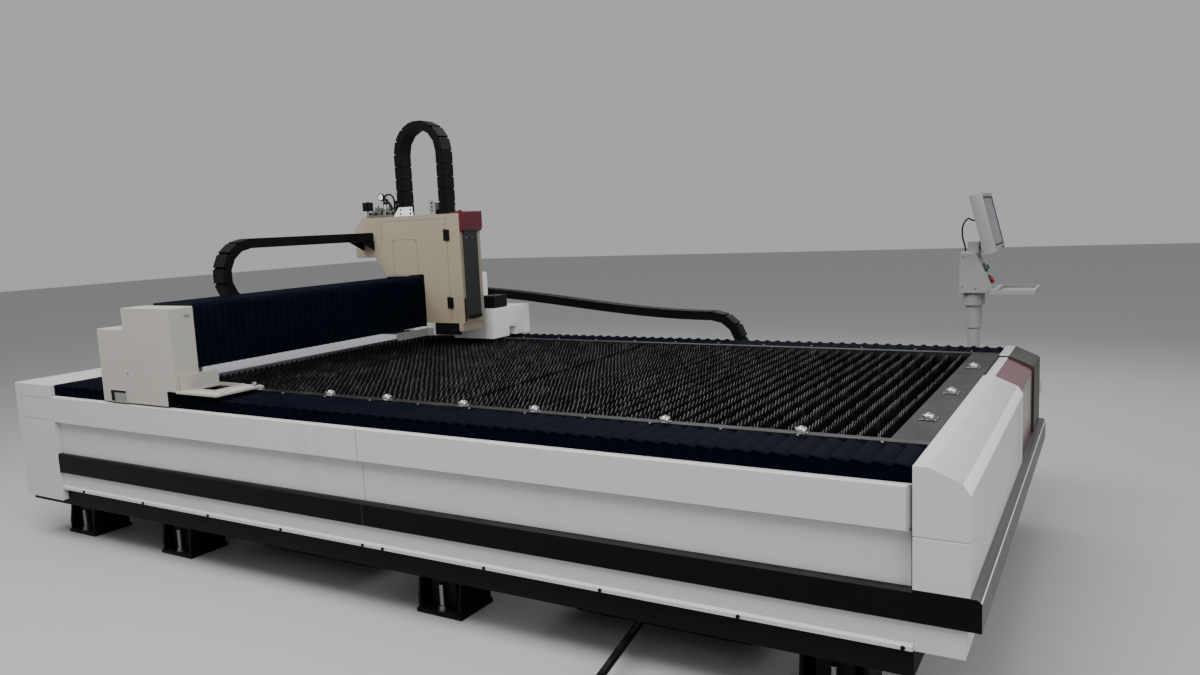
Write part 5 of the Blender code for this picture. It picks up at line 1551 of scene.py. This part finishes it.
def curtainRing(y, inset, low, high):
    front = high.x - inset
    chamfer, skin = curtainSettings["chamfer"], curtainSettings["skin"]
    steps = curtainSettings["cornerSteps"]
    outerLine = [Vector((low.x, y, high.z))]
    for k in range(steps + 1):
        angle = math.radians(90 * k / steps)
        x, z = chamfer * math.sin(angle) - chamfer, chamfer * math.cos(angle) - chamfer
        outerLine.append(Vector((front + x, y, high.z + z)))
    outerLine.append(Vector((front, y, low.z)))
    innerLine = []
    for point in outerLine[::-1]:
        x = min(point.x, front - chamfer * 0.2) - skin * 0.6
        innerLine.append(Vector((x, y, max(point.z - skin, low.z))))
    return outerLine + innerLine


def beamBellows(nodeName, stretchy):
    low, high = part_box(nodeName)
    first, last = low.y + curtainSettings["flange"], high.y - curtainSettings["flange"]
    length = last - first
    count = max(4, round(length / curtainSettings["pitch"]))
    steps = curtainSettings["steps"]
    shape = bmesh.new()
    rings = []
    for i in range(count * steps + 1):
        wave = 0.5 - 0.5 * math.cos(i / steps % 1.0 * 2 * math.pi)
        inset = curtainSettings["depth"] * (1 - wave ** 0.6)
        rings.append(curtainRing(first + i * length / count / steps, inset, low, high))
    loftInto(shape, rings)
    body = None if stretchy else "gantry"
    piece = settle(nodeName + "_cloth", shape, "beamCloth", body, smooth=50)
    if stretchy:
        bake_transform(piece)
    else:
        travel = frameTravel("carriage_y")
        (length - travel) / length
        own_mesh(piece)
    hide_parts(nodeName)


print("beam bellows")
beamBellows("beam_bellows_near", False)
beamBellows("beam_bellows_far", True)


# Drag chains, link by link

def chainStations(line):
    # Evenly spaced frames along a line of points
    lengths = [0.0]
    for first, second in zip(line, line[1:]):
        lengths.append(lengths[-1] + (second - first).length)
    count = max(2, round(lengths[-1] / chainSettings["pitch"]))
    stations = []
    part = 0
    for i in range(count + 1):
        want = lengths[-1] * i / count
        while part < len(line) - 2 and lengths[part + 1] < want:
            part += 1
        share = (want - lengths[part]) / max(lengths[part + 1] - lengths[part], 1e-9)
        stations.append(line[part].lerp(line[part + 1], min(share, 1.0)))
    return stations


def dragChain(name, line, across, width, thickness, body, nodeName):
    shape = bmesh.new()
    across = Vector(across)
    stations = chainStations([Vector(point) for point in line])
    plate, lid, inset = (chainSettings[key] for key in ("plate", "lid", "inset"))
    wall, half = width / 2, thickness / 2
    for first, second in zip(stations, stations[1:]):
        ahead = second - first
        length = ahead.length
        ahead.normalize()
        turn = Matrix((ahead, across, across.cross(ahead).normalized())).transposed().to_4x4()
        place = Matrix.Translation((first + second) / 2) @ turn
        link = length / 2 - chainSettings["seam"] / 2
        for side in (-1, 1):
            outer, inner = side * (wall - 0.0006), side * (wall - plate)
            boxInto(shape, (-link, outer, inset - half), (link, inner, half - inset), place)
            pin = place @ Vector((length * 0.5, side * (wall - plate * 1.4), 0))
            rodInto(shape, pin, across * side, thickness * 0.24, plate * 1.4, 12)
        for level in (-1, 1):
            outer, under = level * half, level * (half - lid)
            boxInto(shape, (-link, inset - wall, outer), (link, wall - inset, under), place, part=2)
            ridge = level * (half - 0.0035)
            low = (-link - 0.0060, -wall + 0.007, ridge)
            boxInto(shape, low, (-link + 0.0030, wall - 0.007, ridge - level * lid), place)
            for rim in (-1, 1):  # snap catches on the lid
                spot = rim * (wall - 0.014)
                low = (-link * 0.28, spot, outer)
                boxInto(shape, low, (link * 0.28, spot + rim * 0.006, outer - level * 0.001), place)
    for offset, radius in chainSettings["cables"]:
        tubeInto(shape, [point + across * offset for point in stations], radius, 8, part=1)
    looks = ["chainPlastic", "cableBlack", "chainLid"]
    piece = settle(name, shape, looks, body, smooth=30)
    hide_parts(nodeName)
    return piece


def arcPoints(centre, radius, first, last, u, v, steps=24):
    points = []
    for i in range(steps + 1):
        angle = math.radians(first + (last - first) * i / steps)
        points.append(centre + (u * math.cos(angle) + v * math.sin(angle)) * radius)
    return points


def loopLevels(nodeName, thickness):
    # Middle heights of the runs above and below a loop, and the loop's radius
    low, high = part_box(nodeName)
    upper, lower = high.z - thickness / 2, low.z + thickness / 2
    return upper, lower, (upper - lower) / 2


def longChain():
    # Far side: sagging upper run, loop and lower run in its tray
    low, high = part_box("x_chain_upper")
    restLow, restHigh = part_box("x_chain_lower")
    width, length = high.y - low.y, high.x - low.x
    thickness = restHigh.z - restLow.z
    y = (low.y + high.y) / 2
    startLevel = high.z - thickness / 2
    loopLevel, lowLevel, radius = loopLevels("x_chain_loop", thickness)
    line = []
    for i in range(chainSettings["sagSteps"] + 1):
        share = i / chainSettings["sagSteps"]
        ease = share * share * (3 - 2 * share)
        level = startLevel + (loopLevel - startLevel) * ease
        line.append(Vector((low.x + length * share, y, level)))
    upper = dragChain("longChainUpper", line, axisY, width, thickness, "gantry", "x_chain_upper")
    keep = (length - frameTravel("gantry_x") / 2) / length
    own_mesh(upper)
    centre = Vector((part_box("x_chain_loop")[0].x, y, loopLevel - radius))
    turn = arcPoints(centre, radius, 90, -90, axisX, axisZ)
    dragChain("longChainLoop", turn, axisY, width, thickness, "x_chain_roll", "x_chain_loop")
    run = [Vector((restHigh.x, y, lowLevel)), Vector((restLow.x, y, lowLevel))]
    lower = dragChain("longChainLower", run, axisY, width, thickness, None, "x_chain_lower")
    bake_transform(lower)


def crossChain():
    # Behind the beam: upper run from the carriage, loop, lower run on the shelf
    low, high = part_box("y_chain_upper")
    restLow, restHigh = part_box("y_chain_lower")
    width, length = high.x - low.x, high.y - low.y
    thickness = high.z - low.z
    x = (low.x + high.x) / 2
    loopLevel, lowLevel, radius = loopLevels("y_chain_loop", thickness)
    line = [Vector((x, high.y, loopLevel)), Vector((x, low.y, loopLevel))]
    upper = dragChain("crossChainUpper", line, axisX, width, thickness, "carriage", "y_chain_upper")
    keep = (length - frameTravel("carriage_y") / 2) / length
    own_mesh(upper)
    centre = Vector((x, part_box("y_chain_loop")[1].y, loopLevel - radius))
    turn = arcPoints(centre, radius, 90, -90, -axisY, axisZ)
    dragChain("crossChainLoop", turn, axisX, width, thickness, "y_chain_roll", "y_chain_loop")
    run = [Vector((x, restLow.y, lowLevel)), Vector((x, restHigh.y, lowLevel))]
    lower = dragChain("crossChainLower", run, axisX, width, thickness, None, "y_chain_lower")
    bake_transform(lower)


def headChain():
    # Tall arch over the carriage roof, one leg on the roof and one going down with the head
    low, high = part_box("z_chain")
    restLow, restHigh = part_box("y_chain_upper")
    thickness = restHigh.z - restLow.z
    y = (low.y + high.y) / 2
    left = low.x + thickness / 2
    right = high.x - thickness / 2
    radius = (right - left) / 2
    middle = Vector(((left + right) / 2, y, high.z - thickness / 2 - radius))
    line = arcPoints(middle, radius, 180, 0, axisX, axisZ)
    line = [Vector((left, y, low.z)), *line, Vector((right, y, low.z))]
    width = high.y - low.y + 2 * chainSettings["archExtra"]
    arch = dragChain("headChain", line, axisY, width, thickness, None, "z_chain")
    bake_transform(arch)


print("drag chains")
longChain()
crossChain()
headChain()


print("finishing")
